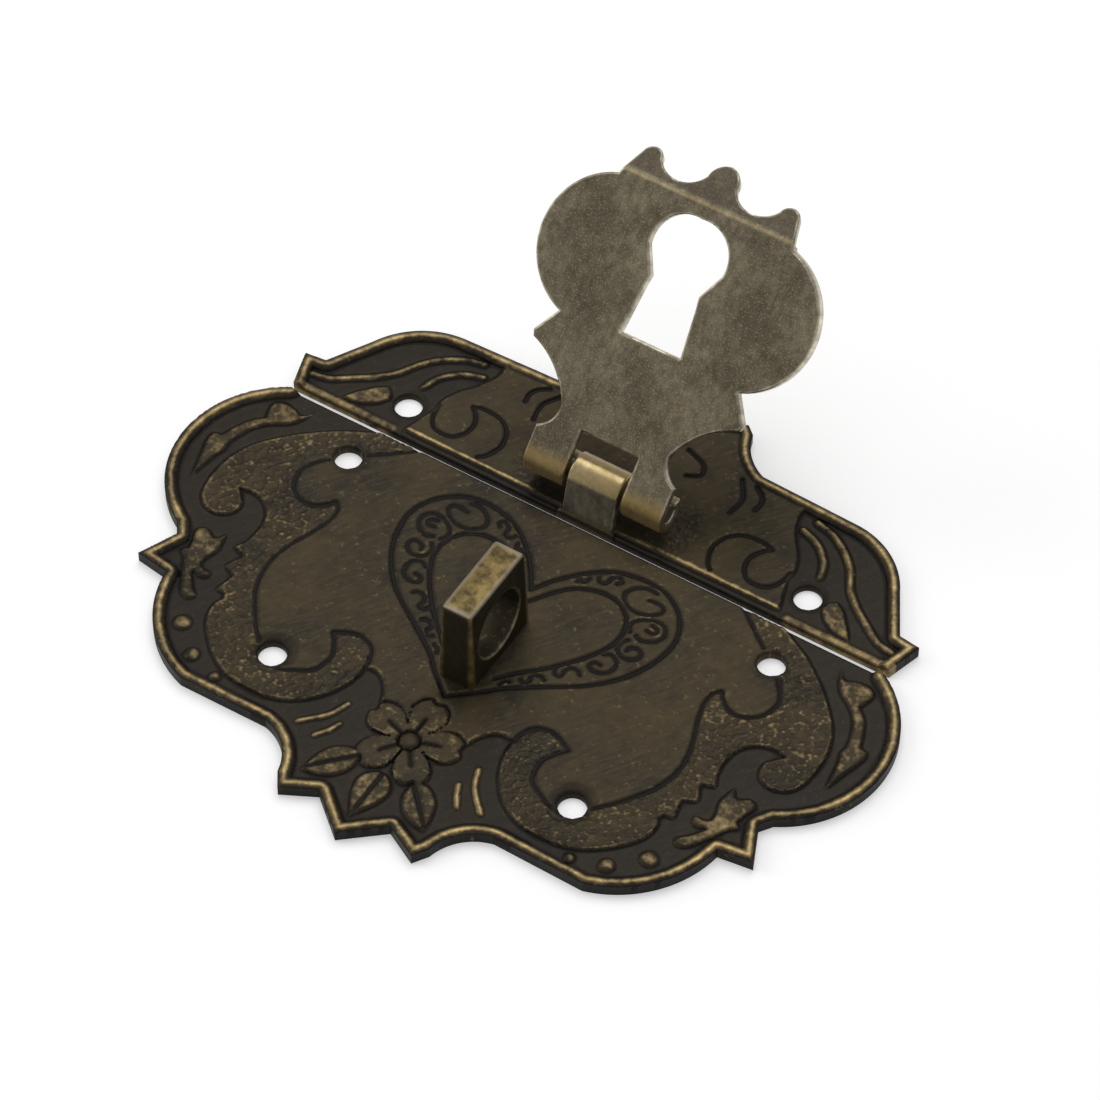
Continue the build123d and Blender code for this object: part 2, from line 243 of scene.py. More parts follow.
def blurred(values, cells):
    """Box blur of a grid, twice each way, by running sums."""
    for axis in (0, 1, 0, 1):
        pad = [(0, 0), (0, 0)]
        pad[axis] = (cells + 1, cells)
        sums = np.cumsum(np.pad(values, pad, mode="edge"), axis=axis)
        span = 2 * cells + 1
        upper = np.take(sums, range(span, sums.shape[axis]), axis=axis)
        lower = np.take(sums, range(0, sums.shape[axis] - span), axis=axis)
        values = (upper - lower) / span
    return values


def grain(u, v, size, seed):
    """Smooth random field: random values on a lattice of the given size, blended by smoothsteps."""
    table = np.random.default_rng(seed).random((256, 256))
    gu = u / size + 100.0
    gv = v / size + 100.0
    iu = np.floor(gu).astype(int)
    iv = np.floor(gv).astype(int)
    fu = smoothstep(0, 1, gu - iu)
    fv = smoothstep(0, 1, gv - iv)

    def at(du, dv):
        return table[(iv + dv) % 256, (iu + du) % 256]

    near = at(0, 0) * (1 - fu) + at(1, 0) * fu
    far = at(0, 1) * (1 - fu) + at(1, 1) * fu
    return near * (1 - fv) + far * fv


def pebbles(u, v, size, seed):
    """Domes at jittered lattice points: at each place the highest of the nine nearest domes, 0 to 1."""
    table = np.random.default_rng(seed).random((256, 256, 3))
    cu = np.floor(u / size).astype(int)
    cv = np.floor(v / size).astype(int)
    highest = np.zeros(u.shape)
    for du in (-1, 0, 1):
        for dv in (-1, 0, 1):
            chance = table[(cv + dv) % 256, (cu + du) % 256]
            pu = (cu + du + chance[..., 0]) * size
            pv = (cv + dv + chance[..., 1]) * size
            radius = size * (0.4 + 0.4 * chance[..., 2])
            dome = 1 - ((u - pu) ** 2 + (v - pv) ** 2) / radius ** 2
            highest = np.maximum(highest, dome)
    return highest


# Meshes

def trimmed(grid, outline, holes=(), corners=()):
    """Grid points moved onto the outline where it passes within half a cell, and which points stay.

    Every grid edge that crosses the outline has an end within half a cell of it, so after the move no
    edge crosses it. Corner points take the nearest grid point exactly.
    """
    reach = 3 * grid.step
    within = grid.inside(outline)
    for hole in holes:
        within = within & ~grid.inside(hole)
    away, near_u, near_v = grid.nearest(outline, reach)
    for hole in holes:
        other, other_u, other_v = grid.nearest(hole, reach)
        closer = other < away
        away = np.where(closer, other, away)
        near_u = np.where(closer, other_u, near_u)
        near_v = np.where(closer, other_v, near_v)
    on_line = away <= 0.5001 * grid.step
    u = np.where(on_line, near_u, grid.U)
    v = np.where(on_line, near_v, grid.V)
    u[:, 0] = 0
    for corner_u, corner_v in corners:
        column = min(int(round((corner_u - grid.u[0]) / grid.step)), grid.shape[1] - 1)
        row = int(round((corner_v - grid.v[0]) / grid.step))
        u[row, column] = corner_u
        v[row, column] = corner_v
        on_line[row, column] = True
    keep = within | on_line
    inside = np.where(on_line, 0.0, np.where(within, away, -away))
    return {
        "u": mirrored(u, -1),
        "v": mirrored(v),
        "keep": mirrored(keep),
        "inside": mirrored(inside),
    }


def sheet_faces(points):
    """Quads and triangles between the kept points of a grid, anticlockwise in u and v."""
    keep = points["keep"]
    depth = points["inside"]
    index = np.arange(keep.size).reshape(keep.shape)
    around = [index[:-1, :-1], index[:-1, 1:], index[1:, 1:], index[1:, :-1]]
    around = np.stack([part.ravel() for part in around], axis=1)
    kept = keep.ravel()[around]
    solid = depth.ravel()[around]
    number = kept.sum(axis=1)
    within = np.where(kept, solid, 0).sum(axis=1) > 0
    quads = around[(number == 4) & within]
    triples = []
    for missing in range(4):
        rows = (number == 3) & within & ~kept[:, missing]
        triples.append(np.delete(around[rows], missing, axis=1))
    return quads, np.vstack(triples)


def open_edges(quads, triangles):
    """Directed edges of the faces that no other face runs back along."""
    pairs = [quads[:, [side, (side + 1) % 4]] for side in range(4)]
    pairs += [triangles[:, [side, (side + 1) % 3]] for side in range(3)]
    pairs = np.vstack(pairs)
    size = pairs.max() + 1
    forward = pairs[:, 0] * size + pairs[:, 1]
    backward = pairs[:, 1] * size + pairs[:, 0]
    return pairs[~np.isin(forward, backward)]


def make_mesh(name, places, quads, triangles, values, flip=False, sharp_angle=50):
    """Mesh object from places in millimetres, with faces turned round where flip is set, and values
    stored at its points."""
    used = np.unique(np.concatenate([quads.ravel(), triangles.ravel()]))
    renumber = np.zeros(len(places), int)
    renumber[used] = np.arange(len(used))
    quads = renumber[quads]
    triangles = renumber[triangles]
    if flip:
        quads = quads[:, ::-1]
        triangles = triangles[:, ::-1]
    corners = np.concatenate([quads.ravel(), triangles.ravel()])
    starts = np.concatenate([
        np.arange(len(quads)) * 4,
        len(quads) * 4 + np.arange(len(triangles)) * 3,
    ])
    mesh = bpy.data.meshes.new(name)
    mesh.vertices.add(len(used))
    mesh.vertices.foreach_set("co", (places[used] * MM).astype(np.float32).ravel())
    mesh.loops.add(len(corners))
    mesh.loops.foreach_set("vertex_index", corners.astype(np.int32))
    mesh.polygons.add(len(starts))
    mesh.polygons.foreach_set("loop_start", starts.astype(np.int32))
    mesh.update(calc_edges=True)
    mesh.polygons.foreach_set("use_smooth", np.ones(len(starts), bool))
    for key, value in values.items():
        if value.ndim == 2:
            layer = mesh.uv_layers.new(name=key)
            layer.data.foreach_set("uv", value[used][corners].astype(np.float32).ravel())
        else:
            store = mesh.attributes.new(key, "FLOAT", "POINT")
            store.data.foreach_set("value", value[used].astype(np.float32))
    mesh.set_sharp_from_angle(angle=math.radians(sharp_angle))
    piece = bpy.data.objects.new(name, mesh)
    bpy.context.scene.collection.objects.link(piece)
    return piece


def crossings_left(loop, places):
    """For each place, whether an odd number of the loop's chords lie to its left."""
    start = loop[:-1]
    end = loop[1:]
    v = places[:, 1][:, None]
    spans = (v >= np.minimum(start[:, 1], end[:, 1])) & (v < np.maximum(start[:, 1], end[:, 1]))
    rise = np.where(end[:, 1] == start[:, 1], 1, end[:, 1] - start[:, 1])
    crossing = start[:, 0] + (v - start[:, 1]) / rise * (end[:, 0] - start[:, 0])
    return ((crossing < places[:, 0][:, None]) & spans).sum(axis=1) % 2 == 1


def flat_backed(name, points, heights, values, loops, edge, direction):
    """Plate with a relief top, upright walls and a flat back at height 0.

    The walls hang from the open edges of the top; the back is a Delaunay triangulation of their feet.
    The sheet's v runs from the plate's straight edge along +y or -y, as the direction's sign says.
    """
    quads, triangles = sheet_faces(points)
    u = points["u"].ravel()
    v = points["v"].ravel()
    rim_edges = open_edges(quads, triangles)
    feet, where = np.unique(rim_edges, return_inverse=True)
    where = where.reshape(-1, 2)
    base = len(u)
    walls = np.column_stack([rim_edges[:, 1], rim_edges[:, 0], base + where[:, 0], base + where[:, 1]])
    flat = np.column_stack([u[feet], v[feet]])
    result = delaunay_2d_cdt([Vector(place) for place in flat], where.tolist(), [], 1, 1e-6)
    back = np.array([[result[3][corner][0] for corner in face] for face in result[2]])
    middles = flat[back].mean(axis=1)
    middles[:, 0] = np.abs(middles[:, 0])
    within = crossings_left(loops[0], middles)
    for hole in loops[1:]:
        within &= ~crossings_left(hole, middles)
    back = back[within]
    edge_one = flat[back[:, 1]] - flat[back[:, 0]]
    edge_two = flat[back[:, 2]] - flat[back[:, 0]]
    turned = edge_one[:, 0] * edge_two[:, 1] - edge_one[:, 1] * edge_two[:, 0] > 0
    back[turned] = back[turned][:, ::-1]
    all_u = np.concatenate([u, u[feet]])
    all_v = np.concatenate([v, v[feet]])
    all_z = np.concatenate([heights.ravel(), np.zeros(len(feet))])
    places = np.column_stack([all_u, edge + direction * all_v, all_z])
    stored = {}
    for key, value in values.items():
        flat_value = value.ravel()
        stored[key] = np.concatenate([flat_value, flat_value[feet]])
    quads = np.vstack([quads, walls])
    triangles = np.vstack([triangles, base + back])
    return make_mesh(name, places, quads, triangles, stored, flip=direction < 0)


def two_faced(name, points, top, bottom, values, sharp_angle=50):
    """Sheet with the same grid on both faces, joined by walls along its open edges."""
    quads, triangles = sheet_faces(points)
    count = points["u"].size
    edges = open_edges(quads, triangles)
    walls = np.column_stack([edges[:, 1], edges[:, 0], edges[:, 0] + count, edges[:, 1] + count])
    places = np.vstack([top, bottom])
    quads = np.vstack([quads, walls, quads[:, ::-1] + count])
    triangles = np.vstack([triangles, triangles[:, ::-1] + count])
    return make_mesh(name, places, quads, triangles, values, sharp_angle=sharp_angle)


def rounded_edge(inside, radius):
    """Drop of a surface near its edge: a quarter circle of the given radius."""
    t = np.clip(1 - inside / radius, 0, 1)
    return radius * (1 - np.sqrt(1 - t * t))


def rubbed_and_tarnished(heights, step):
    """Crests and hollows of a relief: the height above, and below, its own blur."""
    fine = heights - blurred(heights, max(int(FINE_BLUR / step), 1))
    broad = heights - blurred(heights, max(int(BROAD_BLUR / step), 1))
    rub_and_sheen = np.clip(fine / 0.09, 0, 1) * 0.40
    tarnish_and_shade = np.clip(-fine / 0.05, 0, 1) * 0.7 + np.clip(-broad / 0.14, 0, 1) * 0.5
    return rub_and_sheen, np.clip(tarnish_and_shade, 0, 1)


def rim_bead(from_edge):
    """Height of the raised rim: a half-round bead along the edge, GROUND at its inner foot."""
    across = (from_edge - RIM_CREST) / (RIM_WIDTH - RIM_CREST)
    return GROUND + (RIM_TOP - GROUND) * np.sqrt(np.clip(1 - across * across, 0, 1))


def rim_rub(from_edge):
    """Wear along the crest of the rim: a bell over it."""
    return 0.72 * np.exp(-((from_edge - RIM_CREST) / 0.29) ** 2)


def stamped_plate(name, grid, points, loops, curved, relief, screws, seeds, edge, direction):
    """Plate from its relief: adds the rim, dished screw holes, pebbles and slight waviness, and works
    out where it is rubbed, tarnished, pebbled and sunk. The relief holds the height, the chased lines,
    the polishing and painted highlights, and where the pebbles lie and how deep; the seeds are for pebbles,
    waves and grain."""
    line = relief["line"]
    pebbled = relief["pebbled"]
    from_edge = grid.distance(curved, reach=2.0)
    height = np.maximum(relief["height"], rim_bead(from_edge))
    for u, v, depth, reach in screws:
        height -= depth * smoothstep(reach, SCREW_RADIUS, grid.around(u, v))

    rub_and_sheen, tarnish_and_shade = rubbed_and_tarnished(height, grid.step)
    sunk = smoothstep(GROUND + 0.14, GROUND + 0.02, height)
    tarnish_and_shade = np.maximum(np.maximum(tarnish_and_shade, GROUND_TARNISH * sunk), line)
    rub_and_sheen = np.maximum(np.maximum(rub_and_sheen, relief["polish_and_sheen"]) * (1 - line), rim_rub(from_edge))
    domes = pebbles(grid.U, grid.V, PEBBLE_SIZE, seeds[0]) * pebbled
    height += relief["pebble_depth"] * (domes - pebbled)
    rub_and_sheen = np.maximum(rub_and_sheen, 0.37 * domes * domes)
    tarnish_and_shade = np.maximum(tarnish_and_shade, 0.30 * (pebbled - domes))

    u = points["u"]
    v = points["v"]
    waves = 0.015 * (grain(u, v, 2.2, seeds[1]) - 0.5)
    height = mirrored(height) + waves + 0.008 * (grain(u, v, 0.5, seeds[2]) - 0.5)
    corner = rounded_edge(points["inside"], EDGE_ROUND) * mirrored(smoothstep(0.2, 0.5, from_edge))
    height = np.minimum(height, RIM_TOP) - corner
    values = {
        "rub_and_sheen": mirrored(rub_and_sheen),
        "tarnish_and_shade": mirrored(tarnish_and_shade),
        "pebble": mirrored(domes),
        "sunk": mirrored(sunk),
    }
    return flat_backed(name, points, height, values, loops, edge, direction)


# Lower plate

LOWER_CORNERS = (
    (26.6, 0.0), (26.3, 15.7), (25.6, 16.7), (27.0, 19.8), (24.2, 20.2), (17.5, 27.9),
    (10.0, 27.8), (6.6, 31.2), (5.8, 32.4), (3.1, 31.0), (0.0, 33.6),
)
# Screw holes: place, depth of the dish round the hole, and its reach
LOWER_SCREWS = ((18.85, 3.4, 0.10, 1.9), (13.15, 22.2, 0.26, 2.1))
SLOT_HALF = (1.02, 2.62)
STAPLE_INSET = LOWER_EDGE - STAPLE_MIDDLE
FLOWER = (0.0, 23.7)
PETAL_REACH = 4.15
BOSS_RADIUS = 0.75
BOSS_FOOT = 0.10
BOSS_RISE = 0.24
PETAL_RISE = 0.27
LEAF_RISE = 0.25
STROKE_RISE = 0.17
BEAD_RISE = 0.24
LOWER_LINE_DEPTH = 0.17
LOWER_SEEDS = (5, 11, 12)


def lower_curved_edge():
    """Curved outline of the lower plate, from the end of its straight edge to the bottom point."""
    return joined(
        arc((26.6, 0.0), (31.0, 7.6), (26.3, 15.7)),
        straight((26.3, 15.7), (25.6, 16.7), (27.0, 19.8), (24.2, 20.2)),
        arc((24.2, 20.2), (22.0, 25.0), (17.5, 27.9)),
        straight((17.5, 27.9), (10.0, 27.8)),
        arc((10.0, 27.8), (7.7, 29.1), (6.6, 31.2)),
        straight((6.6, 31.2), (5.8, 32.4), (3.1, 31.0), (0.0, 33.6)),
    )


def scroll_inner_edge():
    """Line between the smooth field and the pebbled scroll: bowl, cusp, long side and hook."""
    bowl = smooth(
        (14.5, 0.0), (16.3, 1.5), (17.8, 2.6), (18.9, 3.4), (20.3, 4.8), (21.1, 6.0), (21.2, 6.8),
        (20.7, 8.1), (19.6, 8.9), (18.5, 8.9), (17.6, 8.3), (17.1, 7.6),
    )
    side = smooth(
        (17.1, 7.6), (16.6, 8.3), (16.6, 9.5), (17.0, 11.0), (17.7, 12.8), (18.1, 14.5), (18.1, 16.0),
        (17.6, 17.8), (16.7, 19.3), (15.5, 20.9), (14.6, 21.7), (13.2, 22.4), (12.0, 23.2), (10.8, 22.8),
        (9.6, 22.0), (9.2, 20.9), (9.2, 20.0), (9.8, 18.9), (10.3, 18.3),
    )
    return joined(bowl, side)


def hook_top():
    """Round head of the hook, from its tip over to the arch above the flower."""
    return smooth((10.3, 18.3), (9.5, 17.8), (8.4, 17.5), (7.2, 17.9), (6.6, 19.0), (6.5, 19.7))


def scroll_outer_edge():
    """Outer line of the scroll: hook's back, low curve, serrated side, eye and long round side."""
    low_curve = smooth(
        (6.5, 19.7), (6.5, 20.6), (6.7, 21.6), (7.3, 23.0), (8.3, 24.3), (9.6, 25.3), (11.2, 25.9),
        (13.0, 26.0), (15.0, 25.7), (16.8, 24.7), (18.3, 23.3), (19.2, 22.0), (19.4, 20.7), (19.1, 20.0),
    )
    serrations = straight(
        (19.1, 20.0), (19.3, 19.5), (20.1, 19.4), (19.8, 18.3), (19.7, 17.7), (20.8, 17.2),
        (20.2, 16.0), (20.1, 15.7), (21.2, 15.4), (20.7, 14.4),
    )
    crest = smooth((20.7, 14.4), (20.6, 13.0), (20.9, 11.6), (21.8, 10.6), (23.0, 10.2), (24.2, 10.4))
    eye = smooth(
        (24.2, 10.4), (23.7, 10.9), (23.1, 11.7), (23.2, 12.6), (23.8, 13.2), (24.8, 13.4), (25.9, 12.9),
        (26.5, 11.8), (26.7, 10.0), (26.5, 8.2), (25.9, 6.6), (25.0, 5.3), (23.5, 3.7), (22.2, 2.6),
        (20.7, 1.5), (19.0, 0.6), (18.0, 0.0),
    )
    return joined(low_curve, serrations, crest, eye)


def flower_arch():
    """Lower edge of the smooth field: an arch each side, and a line hidden under the flower."""
    return joined(
        smooth((6.5, 19.7), (5.6, 19.6), (4.7, 20.1), (4.0, 21.1), (3.7, 22.2)),
        straight((3.7, 22.2), (0.0, 22.2)),
    )


def hearts():
    """Two chased hearts round the staple."""
    outer = smooth(
        (0.0, 7.0), (1.0, 5.4), (2.5, 3.7), (4.0, 2.5), (5.5, 1.9), (7.4, 1.7), (9.0, 2.0), (10.5, 3.0),
        (11.4, 4.3), (11.8, 5.8), (11.6, 7.5), (11.0, 9.2), (10.0, 10.8), (8.5, 12.4), (6.5, 13.8),
        (4.5, 15.1), (3.0, 16.2), (2.0, 17.2), (0.0, 18.9),
    )
    inner = smooth(
        (0.0, 8.6), (0.5, 8.0), (1.5, 6.5), (2.5, 5.4), (3.7, 4.7), (5.0, 4.4), (6.3, 4.6), (7.4, 5.4),
        (8.0, 6.7), (8.0, 8.0), (7.5, 9.3), (6.7, 10.6), (5.6, 12.0), (4.4, 13.3), (3.2, 14.4), (2.2, 15.6),
    )
    return outer, inner


def heart_curls():
    """Curls chased between the two hearts, from the top cusp round to the tip."""
    return (
        smooth((2.55, 4.5), (2.6, 4.15), (3.0, 4.3), (3.2, 3.7)),
        smooth((3.7, 3.2), (4.0, 3.6), (4.5, 3.45), (4.6, 2.8), (5.1, 2.5), (5.45, 2.75), (5.2, 3.1)),
        smooth((8.3, 2.3), (7.4, 2.3), (6.6, 2.75), (6.2, 3.5), (6.5, 4.15), (7.3, 4.6), (8.3, 4.6),
               (9.1, 4.2), (9.5, 3.65), (9.3, 3.2), (8.7, 3.1), (8.1, 3.2)),
        smooth((8.4, 6.5), (8.15, 6.1), (8.15, 5.6), (8.7, 5.0), (9.65, 4.6), (10.45, 4.8), (10.8, 5.55),
               (10.45, 6.35), (9.6, 6.75), (9.0, 6.6)),
        smooth((9.4, 5.75), (10.0, 5.75), (10.1, 5.3), (9.5, 5.1)),
        smooth((8.75, 7.2), (8.4, 7.6), (8.4, 8.2), (8.75, 8.7), (9.45, 8.85), (10.1, 8.5), (10.25, 7.95),
               (9.85, 7.6), (9.25, 7.75), (9.1, 8.15)),
        smooth((7.85, 9.35), (8.4, 9.1), (9.0, 9.4), (9.2, 10.1), (8.85, 10.8), (8.1, 11.1), (7.5, 10.85),
               (7.7, 10.35), (8.2, 10.35)),
        smooth((5.5, 12.45), (5.8, 12.85), (6.25, 12.75), (6.2, 12.15), (6.55, 11.7), (7.1, 11.7),
               (7.4, 11.95)),
        smooth((3.8, 14.6), (4.2, 14.8), (4.5, 14.45), (4.35, 14.0), (4.65, 13.65), (5.1, 13.6),
               (5.4, 13.75)),
        smooth((2.75, 15.9), (2.85, 15.45), (3.3, 15.25)),
    )


def side_leaf_outlines():
    """Long barbed leaf in the round side, and short barbed leaf by the spike."""
    long_leaf = joined(
        smooth((23.5, 1.1), (24.2, 1.9), (25.0, 1.6), (26.0, 1.5), (26.7, 1.9), (26.7, 2.6), (26.4, 3.5)),
        smooth((26.4, 3.5), (27.3, 4.3), (27.9, 5.5), (28.3, 6.7)),
        smooth((28.3, 6.7), (29.0, 6.9), (29.0, 7.8), (28.6, 9.2), (28.0, 11.4)),
        smooth((28.0, 11.4), (27.8, 10.0), (27.6, 8.7), (27.3, 7.8)),
        smooth((27.3, 7.8), (27.4, 7.0), (27.1, 5.9), (26.6, 4.8), (25.8, 3.9), (24.9, 3.3), (24.1, 2.5),
               (23.5, 1.1)),
    )
    short_leaf = joined(
        smooth((22.4, 14.7), (23.0, 15.5), (24.0, 15.0), (24.6, 15.5), (24.3, 16.5), (24.1, 17.3)),
        smooth((24.1, 17.3), (24.5, 17.7), (23.9, 18.2), (23.4, 19.2), (22.8, 20.2), (22.0, 21.2),
               (21.3, 21.3), (21.0, 20.8)),
        smooth((21.0, 20.8), (21.7, 20.2), (22.4, 19.3), (22.6, 18.9)),
        smooth((22.6, 18.9), (21.8, 19.1), (21.3, 18.9), (21.3, 18.4), (22.0, 18.4), (22.5, 18.1)),
        smooth((22.5, 18.1), (22.4, 17.3), (22.1, 16.3), (22.4, 14.7)),
    )
    return long_leaf, short_leaf


def low_leaf_outlines():
    """Leaves under the flower: the middle one as its right half, then the one beside it."""
    middle = closed_at_middle(smooth((0.0, 27.1), (0.9, 27.6), (1.35, 28.6), (1.0, 29.9), (0.0, 31.6)))
    beside = joined(
        smooth((2.3, 26.6), (3.5, 26.5), (4.6, 27.3), (5.1, 28.5), (5.3, 30.0)),
        smooth((5.3, 30.0), (4.0, 29.8), (2.9, 29.1), (2.3, 28.0), (2.3, 26.6)),
    )
    return middle, beside


def low_leaf_ribs():
    """Middle lines of those leaves."""
    return (
        straight((0.0, 27.2), (0.0, 31.2)),
        straight((2.4, 26.8), (5.1, 29.6)),
    )


def ground_strokes():
    """Short raised strokes beside the flower."""
    return (
        smooth((5.7, 23.2), (6.4, 24.8), (8.0, 26.5)),
        smooth((5.2, 25.1), (5.6, 26.0), (6.2, 26.9)),
    )


BEADS = ((20.4, 23.4, 0.75), (18.1, 25.5, 0.65), (15.5, 26.35, 0.45))


def flower_relief(grid):
    """Heights, 0 to 1, of five petals and a boss, the distance inside the petals' edge, and their creases.

    A petal's edge lies at the reach times a small power of |cos(5a/2)|, less a notch at its middle line,
    with a the angle from that line; the crease runs along it.
    """
    radius = grid.around(*FLOWER)
    angle = np.arctan2(grid.U - FLOWER[0], FLOWER[1] - grid.V)
    fold = np.abs((angle * 5 / (2 * math.pi) + 0.5) % 1 - 0.5) * 2 * math.pi / 5
    notch = 0.35 * smoothstep(0.16, 0.0, fold)
    edge = PETAL_REACH * np.abs(np.cos(2.5 * fold)) ** 0.30 - notch
    petal = smoothstep(-0.06, 0.16, edge - radius)
    crease = smoothstep(0.22, 0.05, fold * radius) * smoothstep(2.7, 2.2, radius)
    petal = petal * smoothstep(0.80, 1.05, radius)
    dome = np.sqrt(np.clip(1 - (radius / BOSS_RADIUS) ** 2, 0, 1))
    return petal, dome, edge - radius, crease


def lower_plate():
    """Stamped lower plate: sunk ground, raised field and pebbled scroll, chased hearts and curls, flower,
    leaves, strokes and beads, and a slot for the staple."""
    grid = HalfGrid(31.0, 0.0, 33.6, LOWER_STEP)
    curved = lower_curved_edge()
    outline = closed_at_middle(joined(straight((0.0, 0.0), (26.6, 0.0)), curved))
    holes = [ring(screw[:2], SCREW_RADIUS) for screw in LOWER_SCREWS]
    slot_low = STAPLE_INSET - SLOT_HALF[1]
    slot_high = STAPLE_INSET + SLOT_HALF[1]
    holes.append(closed_at_middle(straight(
        (0.0, slot_low), (SLOT_HALF[0], slot_low), (SLOT_HALF[0], slot_high), (0.0, slot_high),
    )))
    points = trimmed(grid, outline, holes, LOWER_CORNERS)

    inner = scroll_inner_edge()
    outer = scroll_outer_edge()
    raised = closed_at_middle(joined(
        straight((0.0, -1.0), (18.0, -1.0), (18.0, 0.0)), outer[::-1], flower_arch(),
    ))
    field = closed_at_middle(joined(
        straight((0.0, -1.0), (14.5, -1.0), (14.5, 0.0)), inner, hook_top(), flower_arch(),
    ))
    in_raised = grid.signed(raised)
    in_field = grid.signed(field)
    scroll = smoothstep(0.05, 0.30, in_raised) * smoothstep(0.05, 0.30, -in_field)

    height = GROUND + (FIELD - GROUND) * smoothstep(-0.10, 0.10, in_raised)
    polish_and_sheen = 0.35 * smoothstep(-0.05, 0.08, in_raised) * smoothstep(0.40, 0.15, in_raised)
    for leaf in side_leaf_outlines() + low_leaf_outlines():
        top = smoothstep(-0.10, 0.14, grid.signed(leaf))
        height = np.maximum(height, GROUND + LEAF_RISE * top)
        polish_and_sheen = np.maximum(polish_and_sheen, 0.33 * top)
    stroke = smoothstep(0.34, 0.10, grid.distance(*ground_strokes()))
    height = np.maximum(height, GROUND + STROKE_RISE * stroke)
    polish_and_sheen = np.maximum(polish_and_sheen, 0.65 * stroke)
    for u, v, radius in BEADS:
        dome = np.sqrt(np.clip(1 - ((grid.U - u) ** 2 + (grid.V - v) ** 2) / radius ** 2, 0, 1))
        height = np.maximum(height, GROUND + BEAD_RISE * dome)
        polish_and_sheen = np.maximum(polish_and_sheen, 0.5 * dome)
    petal, boss, in_petal, petal_crease = flower_relief(grid)
    height = np.maximum(height, GROUND + PETAL_RISE * petal)
    height = np.where(boss > 0, GROUND + BOSS_FOOT + BOSS_RISE * boss, height)
    polish_and_sheen = np.maximum(polish_and_sheen, 0.2 * petal)

    fine = smoothstep(0.25, 0.07, grid.distance(*heart_curls(), *low_leaf_ribs()))
    heavy = smoothstep(0.28, 0.08, grid.distance(*hearts()))
    edge_line = smoothstep(0.26, 0.07, grid.distance(inner, hook_top()))
    petal_line = smoothstep(0.20, 0.06, np.abs(in_petal + 0.08)) * smoothstep(-0.3, 0.0, in_raised)
    petal_crease = petal_crease * smoothstep(0.70, 0.85, grid.around(*FLOWER))
    petal_line = np.maximum(petal_line, petal_crease)
    line = np.maximum(np.maximum(0.9 * fine, petal_line), np.maximum(heavy, edge_line))
    for u, v, *_ in LOWER_SCREWS:
        line *= smoothstep(SCREW_RADIUS + 0.1, SCREW_RADIUS + 0.5, grid.around(u, v))
    height -= LOWER_LINE_DEPTH * line

    relief = {"height": height, "line": line, "polish_and_sheen": polish_and_sheen, "pebbled": scroll, "pebble_depth": 0.12}
    loops = [outline] + holes
    return stamped_plate("stamped_lower_plate", grid, points, loops, curved, relief, LOWER_SCREWS,
                         LOWER_SEEDS, LOWER_EDGE, -1)


# Upper plate

UPPER_CORNERS = (
    (26.6, 0.0), (27.5, 3.0), (25.7, 3.2), (23.6, 6.9), (17.8, 10.8), (9.2, 11.1), (6.4, 14.3),
    (5.6, 15.0), (3.1, 13.7), (0.0, 16.6),
)
# Screw hole: place, depth of the dish round the hole, and its reach
UPPER_SCREW = (17.9, 3.0, 0.12, 1.7)
RIDGE_RISE = 0.24
UPPER_LINE_DEPTH = 0.16
BAR_RISE = 0.10
LEDGE_DEPTH = 0.22
UPPER_SEEDS = (6, 21, 22)


def upper_curved_edge():
    """Curved outline of the upper plate, from the end of its straight edge to the middle point."""
    return joined(
        straight((26.6, 0.0), (27.5, 3.0), (25.7, 3.2), (23.6, 6.9)),
        arc((23.6, 6.9), (21.4, 9.5), (17.8, 10.8)),
        straight((17.8, 10.8), (9.2, 11.1)),
        arc((9.2, 11.1), (7.4, 12.4), (6.4, 14.3)),
        straight((6.4, 14.3), (5.6, 15.0), (3.1, 13.7), (0.0, 16.6)),
    )


def wing_outline():
    """Sunk ground of a wing, between the rim and the middle field."""
    return joined(
        straight((16.7, -1.0), (28.5, -1.0), (28.5, 3.0), (25.4, 3.0), (23.2, 6.7)),
        arc((23.2, 6.7), (21.1, 9.2), (17.6, 10.5)),
        straight((17.6, 10.5), (13.6, 10.7)),
        smooth((13.6, 10.7), (13.4, 9.4), (13.7, 8.3), (14.3, 7.2), (15.2, 6.0), (15.75, 4.7), (15.75, 3.6)),
        straight((15.75, 3.6), (16.7, 0.55), (16.7, -1.0)),
    )


def wing_ridges():
    """Two long ridges that follow the wing's outer curve."""
    outer = smooth(
        (25.9, 1.6), (24.5, 1.9), (23.0, 2.9), (21.5, 4.0), (20.3, 5.2), (19.2, 7.0), (18.0, 8.2),
        (16.5, 9.1), (15.0, 9.5),
    )
    inner = smooth((17.8, 5.0), (17.4, 6.2), (16.6, 7.2), (15.6, 7.9), (14.4, 8.3))
    return outer, inner


def wing_leaf():
    """Small leaf beside the screw hole."""
    return joined(
        smooth((22.6, 0.9), (21.6, 0.9), (20.5, 1.35), (19.8, 1.9), (19.4, 2.5)),
        smooth((19.4, 2.5), (19.6, 3.2), (20.1, 3.6)),
        smooth((20.1, 3.6), (20.9, 3.1), (21.5, 2.4), (22.1, 1.7), (22.6, 0.9)),
    )


def upper_grooves():
    """Two scroll lines that meet in a cusp, two strokes and a hook, chased in the middle field."""
    return (
        smooth((13.4, 5.3), (12.5, 5.55), (11.0, 5.4), (10.0, 4.7), (9.5, 3.6), (9.5, 2.7), (9.9, 1.7),
               (10.4, 1.2)),
        smooth((13.4, 5.3), (12.8, 4.7), (12.4, 3.9), (12.4, 3.0), (12.7, 2.4), (13.2, 1.9), (14.0, 1.75),
               (14.9, 2.0), (15.5, 2.8), (15.8, 4.1)),
        smooth((10.3, 7.9), (10.4, 8.7), (10.1, 9.4), (9.3, 10.0)),
        smooth((8.8, 6.7), (9.0, 7.7), (8.9, 8.6), (8.0, 10.0)),
        smooth((3.0, 10.4), (4.6, 9.8), (5.1, 8.9), (4.7, 8.4), (4.1, 8.1)),
    )


